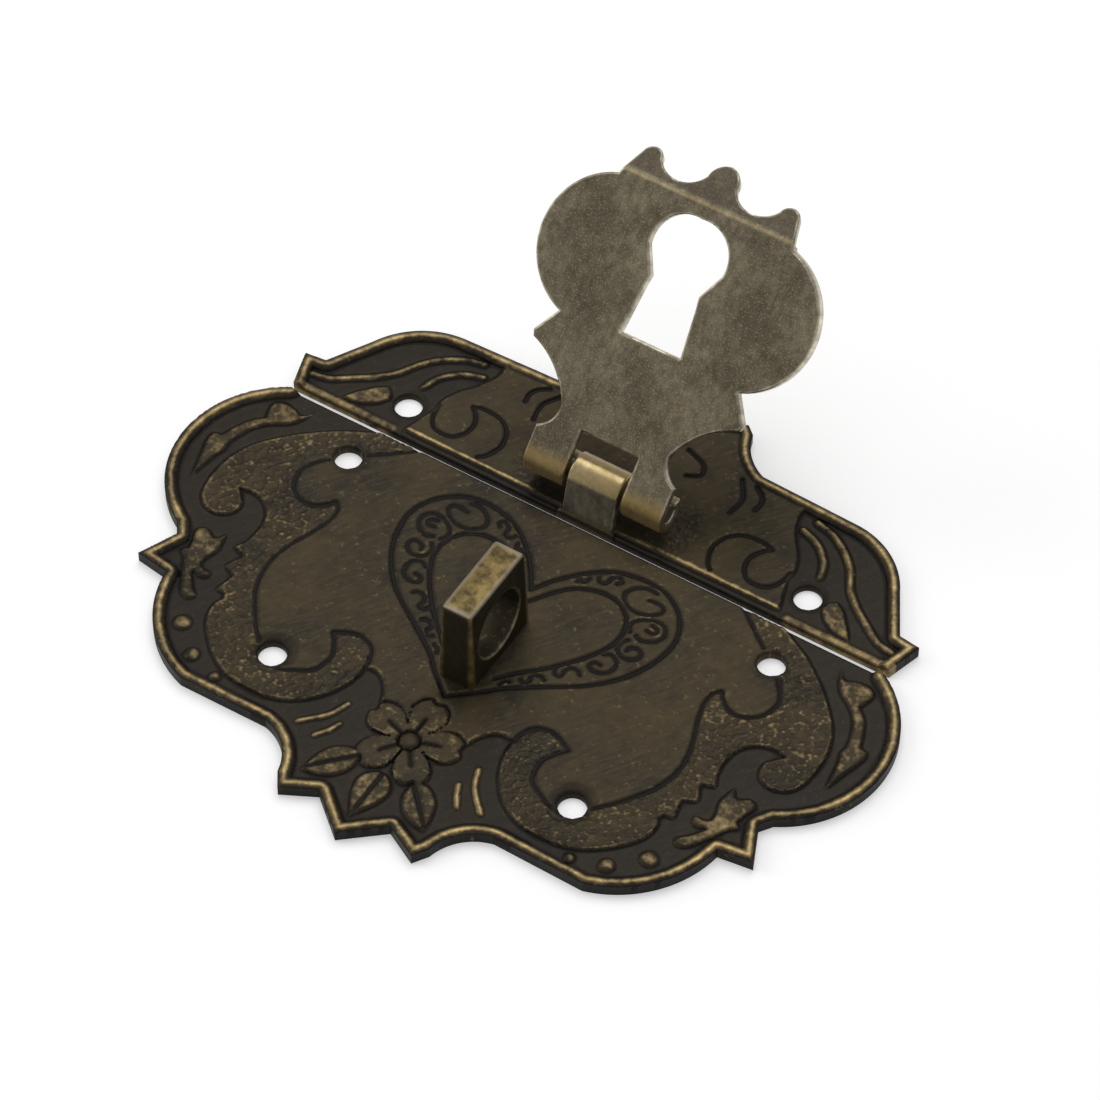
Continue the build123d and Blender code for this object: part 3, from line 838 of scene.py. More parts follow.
def upper_plate():
    """Stamped upper plate: sunk wings with ridges and leaf, scrolls chased in its middle beside a pebbled
    patch, and along the straight edge a low ledge in the middle, with a painted highlight along its step,
    and a bar on each wing."""
    grid = HalfGrid(27.5, 0.0, 16.6, UPPER_STEP)
    curved = upper_curved_edge()
    outline = closed_at_middle(joined(straight((0.0, 0.0), (26.6, 0.0)), curved))
    hole = ring(UPPER_SCREW[:2], SCREW_RADIUS)
    points = trimmed(grid, outline, [hole], UPPER_CORNERS)

    in_wing = grid.signed(wing_outline())
    height = FIELD - (FIELD - GROUND) * smoothstep(-0.10, 0.20, in_wing)
    ridge = smoothstep(0.42, 0.10, grid.distance(*wing_ridges()))
    leaf = smoothstep(-0.10, 0.14, grid.signed(wing_leaf()))
    height = np.maximum(height, GROUND + RIDGE_RISE * np.maximum(ridge, leaf))
    line = smoothstep(0.28, 0.07, grid.distance(*upper_grooves())) * smoothstep(0.1, -0.1, in_wing)
    height -= UPPER_LINE_DEPTH * line
    pebbled = smoothstep(1.6, 0.4, np.hypot((grid.U - 6.8) / 1.1, (grid.V - 3.5) / 2.6))
    bar = smoothstep(0.95, 0.45, grid.V) * smoothstep(16.9, 17.6, grid.U)
    height += BAR_RISE * bar
    bar = bar * (0.42 + 0.16 * smoothstep(20.0, 23.0, grid.U))
    ledge_end = smoothstep(16.9, 16.6, grid.U)
    height -= LEDGE_DEPTH * smoothstep(0.64, 0.44, grid.V) * ledge_end * smoothstep(2.3, 2.6, grid.U)
    # Painted highlight: a thin bright line along the top of the ledge's step.
    ledge_highlight = np.exp(-((grid.V - 0.76) / 0.17) ** 2) * ledge_end * smoothstep(3.4, 5.5, grid.U)
    polish_and_sheen = np.maximum(np.maximum(0.50 * ridge, 0.36 * leaf), np.maximum(bar, 0.75 * ledge_highlight))

    relief = {"height": height, "line": line, "polish_and_sheen": polish_and_sheen, "pebbled": pebbled, "pebble_depth": 0.09}
    return stamped_plate("stamped_upper_plate", grid, points, [outline, hole], curved, relief, [UPPER_SCREW],
                         UPPER_SEEDS, UPPER_EDGE, 1)


# Hinge

def hinge_tongue():
    """Tongue of the upper plate: a sheet carried up a straight line from the edge, tangent to the curl,
    and then along an arc over the pin. The path is its outer face; the thickness lies inside it."""
    foot = np.array([UPPER_EDGE, -PIN_HEIGHT])
    reach = np.hypot(*foot)
    tangent = math.atan2(foot[1], foot[0]) % (2 * math.pi) - math.acos(TONGUE_RADIUS / reach)
    top = TONGUE_RADIUS * np.array([math.cos(tangent), math.sin(tangent)])
    rise = np.linalg.norm(top - foot)
    length = rise + TONGUE_RADIUS * (tangent - TONGUE_END)
    grid = HalfGrid(TONGUE_HALF, 0.0, length, TONGUE_STEP)
    corners = ((TONGUE_HALF, 0.0), (TONGUE_HALF, length))
    outline = closed_at_middle(straight((0.0, 0.0), *corners, (0.0, length)))
    points = trimmed(grid, outline, corners=corners)
    u = points["u"].ravel()
    s = points["v"].ravel()
    angle = tangent - np.maximum(s - rise, 0) / TONGUE_RADIUS
    share = np.clip(s / rise, 0, 1)
    drop = rounded_edge(points["inside"].ravel(), 0.14)

    def face(depth):
        y = TONGUE_RADIUS * np.cos(angle) + (1 - share) * (foot[0] - top[0]) - depth * np.cos(angle)
        z = TONGUE_RADIUS * np.sin(angle) + (1 - share) * (foot[1] - top[1]) - depth * np.sin(angle)
        return np.column_stack([u, y, np.maximum(z + PIN_HEIGHT, 0)])

    edge = np.clip(1 - points["inside"].ravel() / 0.3, 0, 1)
    crown = smoothstep(rise - 0.3, rise + 0.6, s) * smoothstep(rise + 4.5, rise + 2.5, s)
    # Pale all over: the whole tongue is brightened as a painted reflection of the white floor, and a little
    # more at its edges as rubbed wear.
    rub_and_sheen = np.clip(0.4 * edge + 0.85, 0, 1)
    values = {
        "rub_and_sheen": np.tile(rub_and_sheen, 2),
        "tarnish_and_shade": np.zeros(2 * len(u)),
        "gold": np.tile(crown, 2),
        "sheet": np.tile(np.column_stack([u, s]), (2, 1)),
    }
    return two_faced("hinge_tongue", points, face(drop), face(SHEET - drop), values)


def flap_outline():
    """Right half of the unrolled flap: window, knuckle strip, neck, barb, lobe and crown."""
    curl = -KNUCKLE_RADIUS * (CURL_END - math.pi / 2)
    corners = (
        (WINDOW_HALF, WINDOW_REACH), (WINDOW_HALF, curl), (KNUCKLE_END, curl), (KNUCKLE_END, 2.1),
        (9.0, 8.1), (9.2, 8.6), (7.85, 10.7), (7.45, CREASE),
    )
    line = joined(
        straight((0.0, WINDOW_REACH), *corners[:4]),
        arc((KNUCKLE_END, 2.1), (5.1, 2.9), (4.8, 4.2)),
        arc((4.8, 4.2), (6.3, 6.4), (9.0, 8.1)),
        straight((9.0, 8.1), (9.2, 8.6), (7.85, 10.7)),
        arc((7.85, 10.7), (11.85, 16.7), (7.6, 22.1)),
        straight((7.6, 22.1), (7.45, CREASE), (6.8, CREASE + 2.03)),
        arc((6.8, CREASE + 2.03), (5.95, CREASE + 2.7), (5.1, CREASE + 1.94)),
        arc((5.1, CREASE + 1.94), (3.3, CREASE + 0.9), (1.3, CREASE + 2.22)),
        arc((1.3, CREASE + 2.22), (0.6, CREASE + 3.5), (0.0, CREASE + 3.7)),
    )
    return line, corners


def keyhole_outline():
    """Right half of the keyhole: a slot that narrows to a cusp, then a round end."""
    near = 11.2
    far = 21.45
    corners = ((2.6, near), (2.25, near + 0.37 * (far - near)), (2.1, near + 0.47 * (far - near)),
               (3.2, near + 0.68 * (far - near)))
    line = joined(
        straight((0.0, near), *corners),
        arc(corners[-1], (2.54, near + 0.91 * (far - near)), (0.0, far)),
    )
    return line, corners


def hasp_flap():
    """Flap: one sheet rolled round the pin, flat along its length and bent at the crown's crease.

    The unrolled sheet (across, along) is carried along a path that is an arc below 0, straight from 0
    to the crease, and turned smoothly by the crown's bend there. Depth is measured from its plain back.
    """
    outline, corners = flap_outline()
    keyhole, key_corners = keyhole_outline()
    low = outline[:, 1].min()
    high = outline[:, 1].max()
    grid = HalfGrid(12.0, low, high, FLAP_STEP)
    loop = closed_at_middle(outline)
    hole = closed_at_middle(keyhole)
    points = trimmed(grid, loop, [hole], corners + key_corners)
    u = points["u"].ravel()
    s = points["v"].ravel()
    inside = points["inside"].ravel()

    along = np.linspace(0, high + 0.5, 2000)
    bend = -CROWN_BEND * smoothstep(CREASE - 0.35, CREASE + 0.35, along)
    stride = along[1] - along[0]
    path_y = np.concatenate([[0], np.cumsum(np.cos(bend[:-1]) * stride)])
    path_z = KNUCKLE_RADIUS + np.concatenate([[0], np.cumsum(np.sin(bend[:-1]) * stride)])
    ahead = np.maximum(s, 0)
    heading = np.interp(ahead, along, bend)
    roll = math.pi / 2 + np.maximum(-s, 0) / KNUCKLE_RADIUS

    def face(depth):
        rolled = KNUCKLE_RADIUS - depth
        flat_y = np.interp(ahead, along, path_y) + depth * np.sin(heading)
        flat_z = np.interp(ahead, along, path_z) - depth * np.cos(heading)
        y = np.where(s < 0, rolled * np.cos(roll), flat_y)
        z = np.where(s < 0, rolled * np.sin(roll), flat_z)
        turned_y = y * math.cos(REST_ANGLE) - z * math.sin(REST_ANGLE)
        turned_z = y * math.sin(REST_ANGLE) + z * math.cos(REST_ANGLE)
        return np.column_stack([u, turned_y, turned_z + PIN_HEIGHT])

    drop = rounded_edge(inside, 0.13)
    from_edge = mirrored(grid.distance(outline, reach=2.0)).ravel()
    front_rim = FLAP_RIM_RISE * smoothstep(0.85, 0.55, from_edge) * smoothstep(6.2, 6.8, s)
    front_rim *= smoothstep(CREASE + 0.1, CREASE - 0.3, s)
    waviness = 0.02 * (grain(u, s, 3.0, 31) - 0.5)
    back = face(drop + waviness * smoothstep(0.5, 1.5, s))
    front = face(SHEET + front_rim - drop)
    edge = np.clip(1 - inside / 0.28, 0, 1)
    crease_line = smoothstep(0.24, 0.04, np.abs(s - CREASE))
    # The gold is halved on the curl's underside: painted shade under the knuckles.
    gold = smoothstep(1.2, -0.4, s) * (1 - 0.5 * smoothstep(-1.6, -3.2, s))
    gold = np.maximum(gold, 0.6 * crease_line)
    rub_and_sheen = np.clip(1.2 * edge + 0.8 * crease_line, 0, 1)
    # Painted shade: darker on the curl's underside, below the pin, and over the crown beyond the crease,
    # which leans away from the light.
    painted_shade = 0.5 * smoothstep(-1.6, -3.4, s) + 0.62 * smoothstep(CREASE + 0.05, CREASE + 0.5, s)
    values = {
        "rub_and_sheen": np.concatenate([rub_and_sheen, np.clip(edge + front_rim * 3, 0, 1)]),
        "tarnish_and_shade": np.concatenate([painted_shade, np.full(len(u), 0.5)]),
        "gold": np.concatenate([gold, np.zeros(len(u))]),
        "sheet": np.tile(np.column_stack([u, s]), (2, 1)),
    }
    return two_faced("folded_flap", points, back, front, values)


# Staple

BORE_HEIGHT = FIELD + 3.7
BORE_RADIUS = 2.75
STAPLE_TOP = STAPLE_HIGH[2]
STAPLE_FOOT_HALF = (STAPLE_HIGH[1] - STAPLE_LOW[1]) / 2
STAPLE_TOP_HALF = 3.7
STAPLE_FOOT_THICK = STAPLE_HIGH[0] - STAPLE_LOW[0]
STAPLE_TOP_THICK = 2.6


def staple():
    """Staple: a tapered block with a round hole. Its side view is a grid trimmed to the block's outline
    and the hole; the two faces stand half the thickness, which shrinks with height, to either side."""
    round_off = 0.35
    foot = FIELD - 0.1
    slope = (STAPLE_FOOT_HALF - STAPLE_TOP_HALF) / (STAPLE_TOP - FIELD)
    shoulder = STAPLE_TOP_HALF + slope * round_off
    outline = closed_at_middle(joined(
        straight((0.0, foot), (STAPLE_FOOT_HALF, foot), (shoulder, STAPLE_TOP - round_off)),
        smooth((shoulder, STAPLE_TOP - round_off), (STAPLE_TOP_HALF - 0.06, STAPLE_TOP - 0.09),
               (STAPLE_TOP_HALF - round_off, STAPLE_TOP)),
        straight((STAPLE_TOP_HALF - round_off, STAPLE_TOP), (0.0, STAPLE_TOP)),
    ))
    grid = HalfGrid(STAPLE_FOOT_HALF, foot, STAPLE_TOP, STAPLE_STEP)
    bore = ring((0.0, BORE_HEIGHT), BORE_RADIUS)
    points = trimmed(grid, outline, [bore], ((STAPLE_FOOT_HALF, foot), (0.0, BORE_HEIGHT + BORE_RADIUS),
                                             (0.0, BORE_HEIGHT - BORE_RADIUS)))
    y = points["u"].ravel()
    z = points["v"].ravel()
    inside = points["inside"].ravel()
    share = (z - FIELD) / (STAPLE_TOP - FIELD)
    half = (STAPLE_FOOT_THICK + (STAPLE_TOP_THICK - STAPLE_FOOT_THICK) * np.clip(share, 0, 1)) / 2
    half = half - rounded_edge(inside, 0.24) + 0.02 * (grain(y, z, 1.2, 41) - 1.0)
    near = np.column_stack([half, y + STAPLE_MIDDLE, z])
    far = np.column_stack([-half, y + STAPLE_MIDDLE, z])
    from_bore = np.hypot(y, z - BORE_HEIGHT) - BORE_RADIUS
    bore_rim = 0.75 * np.exp(-((from_bore - 0.12) / 0.10) ** 2)
    values = {
        "rub_and_sheen": np.tile(bore_rim, 2),
        "tarnish_and_shade": np.full(2 * len(y), 0.5),
    }
    return two_faced("padlock_staple", points, near, far, values, sharp_angle=60)


# Materials

def put(tree, socket, value):
    """Join a socket to another, or set its value."""
    if isinstance(value, bpy.types.NodeSocket):
        tree.links.new(value, socket)
    else:
        socket.default_value = value


def node(tree, kind, inputs=None, **settings):
    """New node with its settings and inputs; inputs are given by name or number."""
    made = tree.nodes.new(kind)
    for key, value in settings.items():
        setattr(made, key, value)
    for key, value in (inputs or {}).items():
        put(tree, made.inputs[key], value)
    return made


def mix_color(tree, share, first, second):
    """Colour between two, by a share."""
    return node(tree, "ShaderNodeMix", {0: share, 6: first, 7: second}, data_type="RGBA").outputs[2]


def mix_value(tree, share, first, second):
    """Value between two, by a share."""
    return node(tree, "ShaderNodeMix", {0: share, 2: first, 3: second}, data_type="FLOAT").outputs[0]


def math_node(tree, operation, first, second=0.0, clamp=False):
    """Arithmetic on two values."""
    made = node(tree, "ShaderNodeMath", {0: first, 1: second}, operation=operation, use_clamp=clamp)
    return made.outputs[0]


def times(tree, first, second):
    """Product of two values."""
    return math_node(tree, "MULTIPLY", first, second)


def noise(tree, place, scale, detail=4.0, rough=0.6):
    """Noise value at a place."""
    inputs = {"Vector": place, "Scale": scale, "Detail": detail, "Roughness": rough}
    return node(tree, "ShaderNodeTexNoise", inputs).outputs[0]


def ranged(tree, value, low, high, to_low=0.0, to_high=1.0):
    """Value stretched from one range to another, and held within it."""
    made = node(tree, "ShaderNodeMapRange", {0: value, 1: low, 2: high, 3: to_low, 4: to_high})
    return made.outputs[0]


def tone(red, green, blue):
    """Linear colour of a screen colour, 0 to 255."""
    parts = [channel / 255 for channel in (red, green, blue)]
    linear = [part / 12.92 if part <= 0.04045 else ((part + 0.055) / 1.055) ** 2.4 for part in parts]
    return (*linear, 1.0)


def new_group(name, inputs, outputs):
    """Shader node group with named inputs and outputs."""
    group = bpy.data.node_groups.new(name, "ShaderNodeTree")
    for label, kind in inputs:
        group.interface.new_socket(label, in_out="INPUT", socket_type=kind)
    for label, kind in outputs:
        group.interface.new_socket(label, in_out="OUTPUT", socket_type=kind)
    source = group.nodes.new("NodeGroupInput")
    target = group.nodes.new("NodeGroupOutput")
    return group, source, target


FLOAT = "NodeSocketFloat"
COLOR = "NodeSocketColor"
VECTOR = "NodeSocketVector"


def patina_group():
    """Aged bronze: dark tarnishing in the hollows, olive bronze on the flats and rubbed brass on the crests,
    each broken up by blotches and fine grain. The darkening input also carries painted shade, and the
    brightening input painted highlights and a painted reflection, where a piece stores them."""
    group, source, target = new_group(
        "aged_bronze",
        [("Place", VECTOR), ("Tarnish and shade", FLOAT), ("Rub and sheen", FLOAT),
         ("Dark", COLOR), ("Flat", COLOR), ("Bright", COLOR)],
        [("Color", COLOR), ("Roughness", FLOAT), ("Height", FLOAT), ("Metallic", FLOAT)],
    )
    place = source.outputs["Place"]
    blotch = noise(group, place, 160.0, 5.0, 0.65)
    speck = noise(group, place, 1500.0, 3.0, 0.6)
    fine = noise(group, place, 5200.0, 2.0, 0.5)
    dark_tone = source.outputs["Dark"]
    bright_tone = source.outputs["Bright"]
    flat = mix_color(group, ranged(group, blotch, 0.35, 0.68, 0.0, 0.14), source.outputs["Flat"], bright_tone)
    flat = mix_color(group, ranged(group, speck, 0.45, 0.75, 0.0, 0.25), flat, dark_tone)
    broken = ranged(group, speck, 0.3, 0.7, -0.08, 0.08)
    broken = math_node(group, "ADD", source.outputs["Tarnish and shade"], broken, True)
    dark = mix_color(group, ranged(group, broken, 0.15, 0.85), flat, dark_tone)
    rub_and_sheen = math_node(group, "ADD", source.outputs["Rub and sheen"], ranged(group, speck, 0.3, 0.7, -0.25, 0.2), True)
    rub_and_sheen = math_node(group, "ADD", rub_and_sheen, ranged(group, blotch, 0.3, 0.7, -0.18, 0.12), True)
    rub_and_sheen = ranged(group, rub_and_sheen, 0.22, 0.85)
    color = mix_color(group, rub_and_sheen, dark, bright_tone)
    rough = mix_value(group, rub_and_sheen, ranged(group, blotch, 0.3, 0.7, 0.46, 0.60), 0.34)
    height = math_node(group, "ADD", times(group, speck, 0.6), times(group, fine, 0.4))
    metal = mix_value(group, broken, 0.92, 0.70)
    put(group, target.inputs["Color"], color)
    put(group, target.inputs["Roughness"], rough)
    put(group, target.inputs["Height"], height)
    put(group, target.inputs["Metallic"], metal)
    return group


def turned_place(tree, place, turn, scale):
    """Place turned about z, in radians, and scaled."""
    inputs = {"Vector": place, "Rotation": (0.0, 0.0, turn), "Scale": scale}
    return node(tree, "ShaderNodeMapping", inputs).outputs[0]


def scratch_group():
    """Fine scratches: lines from noise stretched by the two scales given, and a few slanting marks."""
    group, source, target = new_group(
        "sheet_scratches",
        [("Place", VECTOR), ("Across", FLOAT), ("Along", FLOAT)],
        [("Lines", FLOAT), ("Marks", FLOAT)],
    )
    place, across, along = source.outputs[:3]
    scale = node(group, "ShaderNodeCombineXYZ", {0: across, 1: along, 2: 1.0}).outputs[0]
    drawn = node(group, "ShaderNodeVectorMath", {0: place, 1: scale}, operation="MULTIPLY").outputs[0]
    lines = noise(group, drawn, 1.0, 4.0, 0.65)
    turned = turned_place(group, place, 0.35, (4.0, 0.12, 1.0))
    marks = ranged(group, noise(group, turned, 1.3, 3.0, 0.6), 0.64, 0.70)
    put(group, target.inputs["Lines"], lines)
    put(group, target.inputs["Marks"], marks)
    return group


def attribute(tree, name):
    """Value stored at the mesh's points."""
    return node(tree, "ShaderNodeAttribute", attribute_name=name, attribute_type="GEOMETRY").outputs["Fac"]


def new_material(name):
    """Material with an empty tree but for its shader and output."""
    material = bpy.data.materials.new(name)
    material.use_nodes = True
    tree = material.node_tree
    shader = tree.nodes["Principled BSDF"]
    return material, tree, shader


def object_place(tree):
    """Place on the object, in metres."""
    return node(tree, "ShaderNodeTexCoord").outputs["Object"]


def place_group(tree, group, inputs):
    """Node that uses a group with its own inputs."""
    made = tree.nodes.new("ShaderNodeGroup")
    made.node_tree = group
    for key, value in inputs.items():
        put(tree, made.inputs[key], value)
    return made


def aged_metal(tree, patina, place, tones, tarnish_and_shade, rub_and_sheen):
    """Aged bronze in a material, in its own dark, flat and bright tones."""
    dark, flat, bright = (tone(*screen) for screen in tones)
    inputs = {"Place": place, "Tarnish and shade": tarnish_and_shade, "Rub and sheen": rub_and_sheen, "Dark": dark, "Flat": flat, "Bright": bright}
    return place_group(tree, patina, inputs)


def join_shader(tree, shader, aged, color, height, strength, depth):
    """Join a colour, the aged metal's gloss and a normal tilted by a height to the shader.

    The depth is in metres.
    """
    inputs = {"Height": height, "Strength": strength, "Distance": depth}
    put(tree, shader.inputs["Base Color"], color)
    put(tree, shader.inputs["Roughness"], aged.outputs["Roughness"])
    put(tree, shader.inputs["Metallic"], aged.outputs["Metallic"])
    put(tree, shader.inputs["Normal"], node(tree, "ShaderNodeBump", inputs).outputs[0])


# Dark, flat and bright tones of each metal, as screen colours
PLATE_TONES = ((21, 18, 16), (46, 42, 36), (164, 142, 98))
FLAP_TONES = ((44, 39, 33), (142, 133, 111), (226, 218, 194))
STAPLE_TONES = ((28, 25, 19), (62, 54, 38), (160, 146, 116))
PIN_TONES = ((58, 54, 48), (120, 112, 96), (180, 170, 146))


def plate_bronze(patina, scratches):
    """Finish of the stamped plates: aged bronze with grey sunk ground, and on its clean flats slanting
    scratches and brassy flecks; grit roughens the pebbles."""
    material, tree, shader = new_material("plate_bronze_finish")
    place = object_place(tree)
    tarnish_and_shade = attribute(tree, "tarnish_and_shade")
    aged = aged_metal(tree, patina, place, PLATE_TONES, tarnish_and_shade, attribute(tree, "rub_and_sheen"))
    grit = node(tree, "ShaderNodeTexVoronoi", {"Vector": place, "Scale": 3000.0}).outputs["Distance"]
    grit = times(tree, grit, attribute(tree, "pebble"))
    height = math_node(tree, "SUBTRACT", aged.outputs["Height"], grit)
    turned = turned_place(tree, place, 0.6, (1000.0, 1000.0, 1000.0))
    lines = place_group(tree, scratches, {"Place": turned, "Across": 3.2, "Along": 0.5}).outputs["Lines"]
    clean = ranged(tree, tarnish_and_shade, 0.2, 0.6, 1.0, 0.0)
    hollow = times(tree, attribute(tree, "sunk"), 0.75)
    color = mix_color(tree, times(tree, hollow, clean), aged.outputs["Color"], tone(40, 37, 35))
    clean = times(tree, clean, math_node(tree, "SUBTRACT", 1.0, hollow))
    streak = times(tree, ranged(tree, lines, 0.46, 0.72, 0.0, 0.40), clean)
    color = mix_color(tree, streak, color, tone(86, 76, 58))
    fleck = ranged(tree, noise(tree, place, 2600.0, 2.0, 0.5), 0.64, 0.74, 0.0, 0.5)
    color = mix_color(tree, times(tree, fleck, clean), color, tone(112, 98, 70))
    join_shader(tree, shader, aged, color, height, 0.35, 0.00004)
    return material


def flap_bronze(patina, scratches):
    """Finish of the folded sheet: drawn lines, clouds, bright specks and scattered scratches, gold where
    it is rolled round the pin, painted shade on the curl's underside and over the crown with fewer specks
    there, and bright cut edges. On the tongue it also lays a pale painted reflection of the white floor."""
    material, tree, shader = new_material("flap_bronze_finish")
    sheet = node(tree, "ShaderNodeUVMap", uv_map="sheet").outputs[0]
    scratched = place_group(tree, scratches, {"Place": sheet, "Across": 1.7, "Along": 0.95})
    lines = scratched.outputs["Lines"]
    tarnish_and_shade = attribute(tree, "tarnish_and_shade")
    aged = aged_metal(tree, patina, object_place(tree), FLAP_TONES, tarnish_and_shade, attribute(tree, "rub_and_sheen"))
    streak = ranged(tree, lines, 0.36, 0.64, 0.0, 0.55)
    color = mix_color(tree, streak, aged.outputs["Color"], tone(84, 75, 58))
    cloud = ranged(tree, noise(tree, sheet, 0.2, 4.0, 0.6), 0.42, 0.60, 0.0, 0.55)
    color = mix_color(tree, cloud, color, tone(76, 67, 56))
    speck = ranged(tree, noise(tree, sheet, 6.5, 3.0, 0.6), 0.54, 0.72, 0.0, 0.62)
    speck = times(tree, speck, ranged(tree, tarnish_and_shade, 0.2, 0.6, 1.0, 0.3))
    color = mix_color(tree, speck, color, tone(204, 190, 148))
    color = mix_color(tree, times(tree, scratched.outputs["Marks"], 0.18), color, tone(176, 160, 122))
    patchy = ranged(tree, noise(tree, sheet, 2.4), 0.3, 0.7, 0.45, 0.95)
    color = mix_color(tree, times(tree, attribute(tree, "gold"), patchy), color, tone(176, 150, 94))
    height = math_node(tree, "ADD", aged.outputs["Height"], lines)
    join_shader(tree, shader, aged, color, height, 0.3, 0.00003)
    return material


def staple_brass(patina):
    """Finish of the staple: near-black sides, mottled brass on top painted lighter as a highlight, with a
    pale painted highlight along the top's rounded edges, and worn corners.
    """
    material, tree, shader = new_material("staple_brass_finish")
    place = object_place(tree)
    aged = aged_metal(tree, patina, place, STAPLE_TONES, attribute(tree, "tarnish_and_shade"), attribute(tree, "rub_and_sheen"))
    x, y, z = node(tree, "ShaderNodeSeparateXYZ", {0: place}).outputs
    across = math_node(tree, "ABSOLUTE", x)
    along = math_node(tree, "ABSOLUTE", math_node(tree, "SUBTRACT", y, float(STAPLE_MIDDLE * MM)))
    # Painted highlight: the top face is lit brass, lighter than the near-black sides.
    top = ranged(tree, z, float((STAPLE_TOP - 0.14) * MM), float((STAPLE_TOP - 0.03) * MM))
    # Painted highlight: a pale border along the rounded edges of the top.
    highlight_border = ranged(tree, across, 0.00085, 0.00125)
    highlight_border = math_node(tree, "MAXIMUM", highlight_border, ranged(tree, along, 0.0031, 0.0036))
    corner = times(tree, ranged(tree, across, 0.00095, 0.0013), ranged(tree, along, 0.0034, 0.0037))
    mottle = ranged(tree, noise(tree, place, 900.0, 4.0, 0.6), 0.38, 0.62)
    brass = mix_color(tree, mottle, tone(142, 122, 76), tone(80, 68, 42))
    lit_top_color = mix_color(tree, times(tree, highlight_border, 0.8), brass, tone(172, 162, 140))
    worn = times(tree, corner, ranged(tree, mottle, 0.0, 1.0, 0.9, 0.3))
    color = mix_color(tree, worn, aged.outputs["Color"], tone(156, 132, 82))
    color = mix_color(tree, top, color, lit_top_color)
    join_shader(tree, shader, aged, color, aged.outputs["Height"], 0.35, 0.00004)
    return material


def pin_steel(patina):
    """Finish of the drawn-wire pin, evenly tarnished and a little rubbed."""
    material, tree, shader = new_material("pin_wire_finish")
    aged = aged_metal(tree, patina, object_place(tree), PIN_TONES, tarnish_and_shade=0.35, rub_and_sheen=0.2)
    join_shader(tree, shader, aged, aged.outputs["Color"], aged.outputs["Height"], 0.3, 0.00003)
    return material


def dress(piece, body, material, replaced=None):
    """Put a piece on its body with its finish, in place of a solid where one is named."""
    piece.data.materials.append(material)
    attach(piece, body)
    if replaced:
        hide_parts(replaced)


# Stage

TARGET = np.array([-1.2, -5.4, 0.0]) * MM
AZIMUTH = math.radians(32.11)
ELEVATION = math.radians(50.95)
DISTANCE = 0.3789
LENS = 163.6
FLOOR_HALF = 3.0
FLOOR_DROP = 0.00002
FLOOR_GLOW = 0.34


def add_floor():
    """Seamless white floor that keeps the shadows; it shows a little brighter than it is lit."""
    mesh = bpy.data.meshes.new("white_floor")
    signs = ((-1, -1), (1, -1), (1, 1), (-1, 1))
    corners = [(x * FLOOR_HALF, y * FLOOR_HALF, -FLOOR_DROP) for x, y in signs]
    mesh.from_pydata(corners, [], [(0, 1, 2, 3)])
    floor = bpy.data.objects.new("white_floor", mesh)
    bpy.context.scene.collection.objects.link(floor)
    material, tree, shader = new_material("white_floor_finish")
    place = object_place(tree)
    cloud = ranged(tree, noise(tree, place, 6.0, 2.0, 0.5), 0.3, 0.7)
    pale = mix_color(tree, cloud, (0.86, 0.86, 0.86, 1.0), (0.88, 0.88, 0.88, 1.0))
    put(tree, shader.inputs["Base Color"], pale)
    put(tree, shader.inputs["Roughness"], 0.9)
    glow = node(tree, "ShaderNodeEmission", {"Color": (1.0, 1.0, 1.0, 1.0), "Strength": FLOOR_GLOW})
    path = node(tree, "ShaderNodeLightPath")
    seen = math_node(tree, "MAXIMUM", path.outputs["Is Camera Ray"], path.outputs["Is Glossy Ray"])
    both = node(tree, "ShaderNodeAddShader", {0: shader.outputs[0], 1: glow.outputs[0]})
    mixed = node(tree, "ShaderNodeMixShader", {0: seen, 1: shader.outputs[0], 2: both.outputs[0]})
    put(tree, tree.nodes["Material Output"].inputs["Surface"], mixed.outputs[0])
    mesh.materials.append(material)


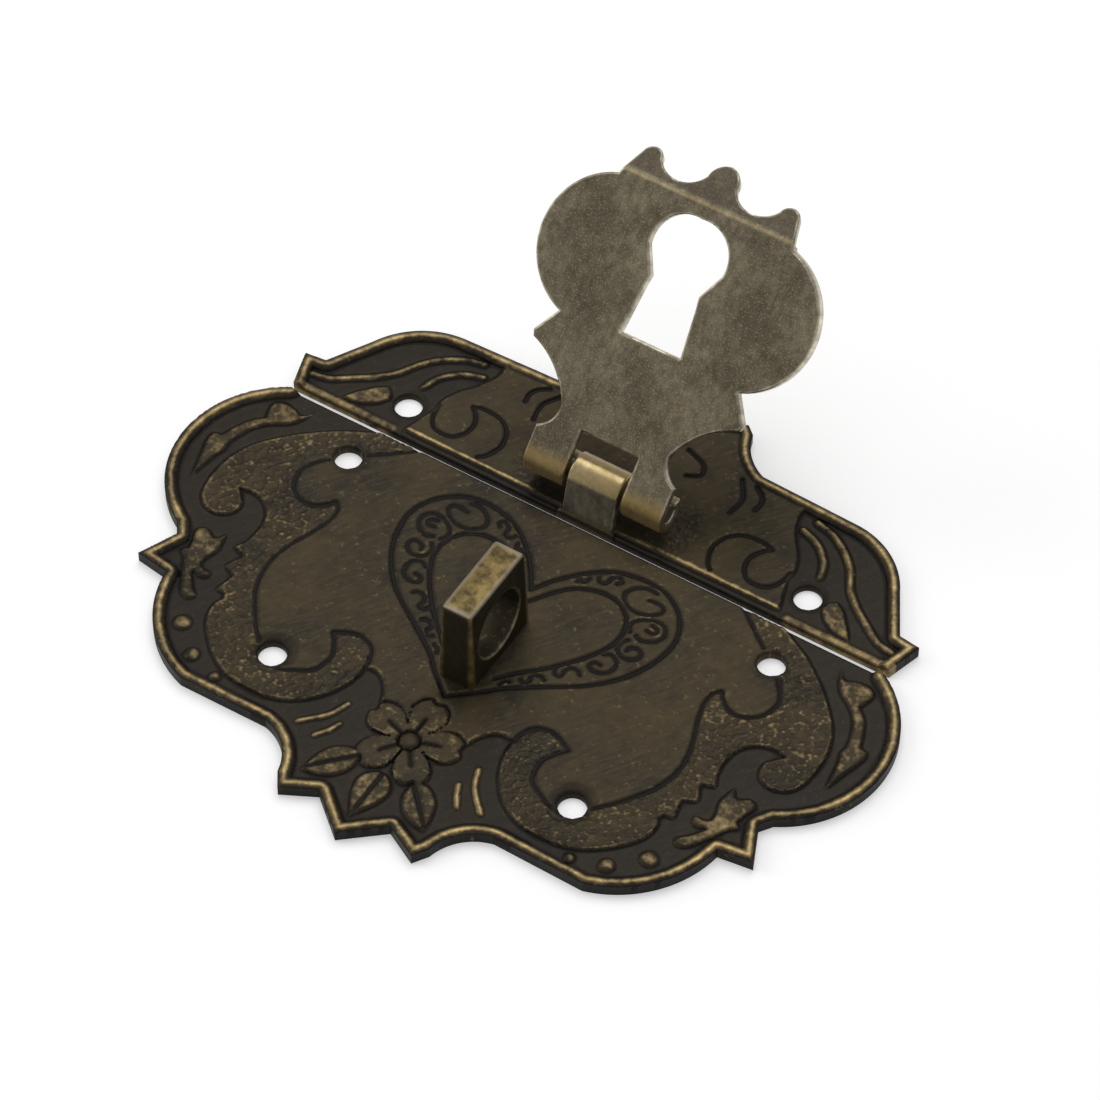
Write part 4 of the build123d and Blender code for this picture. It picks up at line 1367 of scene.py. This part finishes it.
def add_lamp(name, place, size, power):
    """Soft square lamp, turned towards the object."""
    data = bpy.data.lights.new(name, "AREA")
    data.shape = "SQUARE"
    data.size = size
    data.energy = power
    lamp = bpy.data.objects.new(name, data)
    lamp.location = place
    lamp.rotation_euler = (-Vector(place)).to_track_quat("-Z", "Y").to_euler()
    bpy.context.scene.collection.objects.link(lamp)


def add_lights():
    """Even white surroundings, a broad lamp overhead and behind, and a weaker one from the left."""
    world = bpy.data.worlds.new("studio")
    bpy.context.scene.world = world
    world.use_nodes = True
    background = world.node_tree.nodes["Background"]
    background.inputs["Color"].default_value = (1.0, 1.0, 1.0, 1.0)
    background.inputs["Strength"].default_value = 0.45
    add_lamp("overhead_lamp", place=(-0.10, 0.25, 0.55), size=0.45, power=1.3)
    add_lamp("left_lamp", place=(-0.55, -0.15, 0.35), size=0.35, power=0.7)


def add_camera():
    """Camera at the photo's angle and distance, looking at the middle of the two plates."""
    data = bpy.data.cameras.new("camera")
    data.lens = LENS
    data.sensor_width = 36.0
    data.clip_start = 0.01
    camera = bpy.data.objects.new("camera", data)
    direction = np.array([
        math.sin(AZIMUTH) * math.cos(ELEVATION),
        -math.cos(AZIMUTH) * math.cos(ELEVATION),
        math.sin(ELEVATION),
    ])
    camera.location = TARGET + DISTANCE * direction
    camera.rotation_euler = Vector(-direction).to_track_quat("-Z", "Y").to_euler()
    bpy.context.scene.collection.objects.link(camera)
    bpy.context.scene.camera = camera


PATINA = patina_group()
SCRATCHES = scratch_group()
PLATE_FINISH = plate_bronze(PATINA, SCRATCHES)
FLAP_FINISH = flap_bronze(PATINA, SCRATCHES)
STAPLE_FINISH = staple_brass(PATINA)
PIN_FINISH = pin_steel(PATINA)

dress(lower_plate(), "plates", PLATE_FINISH, "lower_plate")
dress(upper_plate(), "plates", PLATE_FINISH, "upper_plate")
dress(hinge_tongue(), "plates", FLAP_FINISH)
dress(hasp_flap(), "flap", FLAP_FINISH, "hasp_flap")
dress(staple(), "plates", STAPLE_FINISH, "staple")
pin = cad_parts["hinge_pin"]
pin.data.materials.clear()
pin.data.materials.append(PIN_FINISH)

add_floor()
add_lights()
add_camera()
bpy.context.scene.view_settings.view_transform = "Standard"
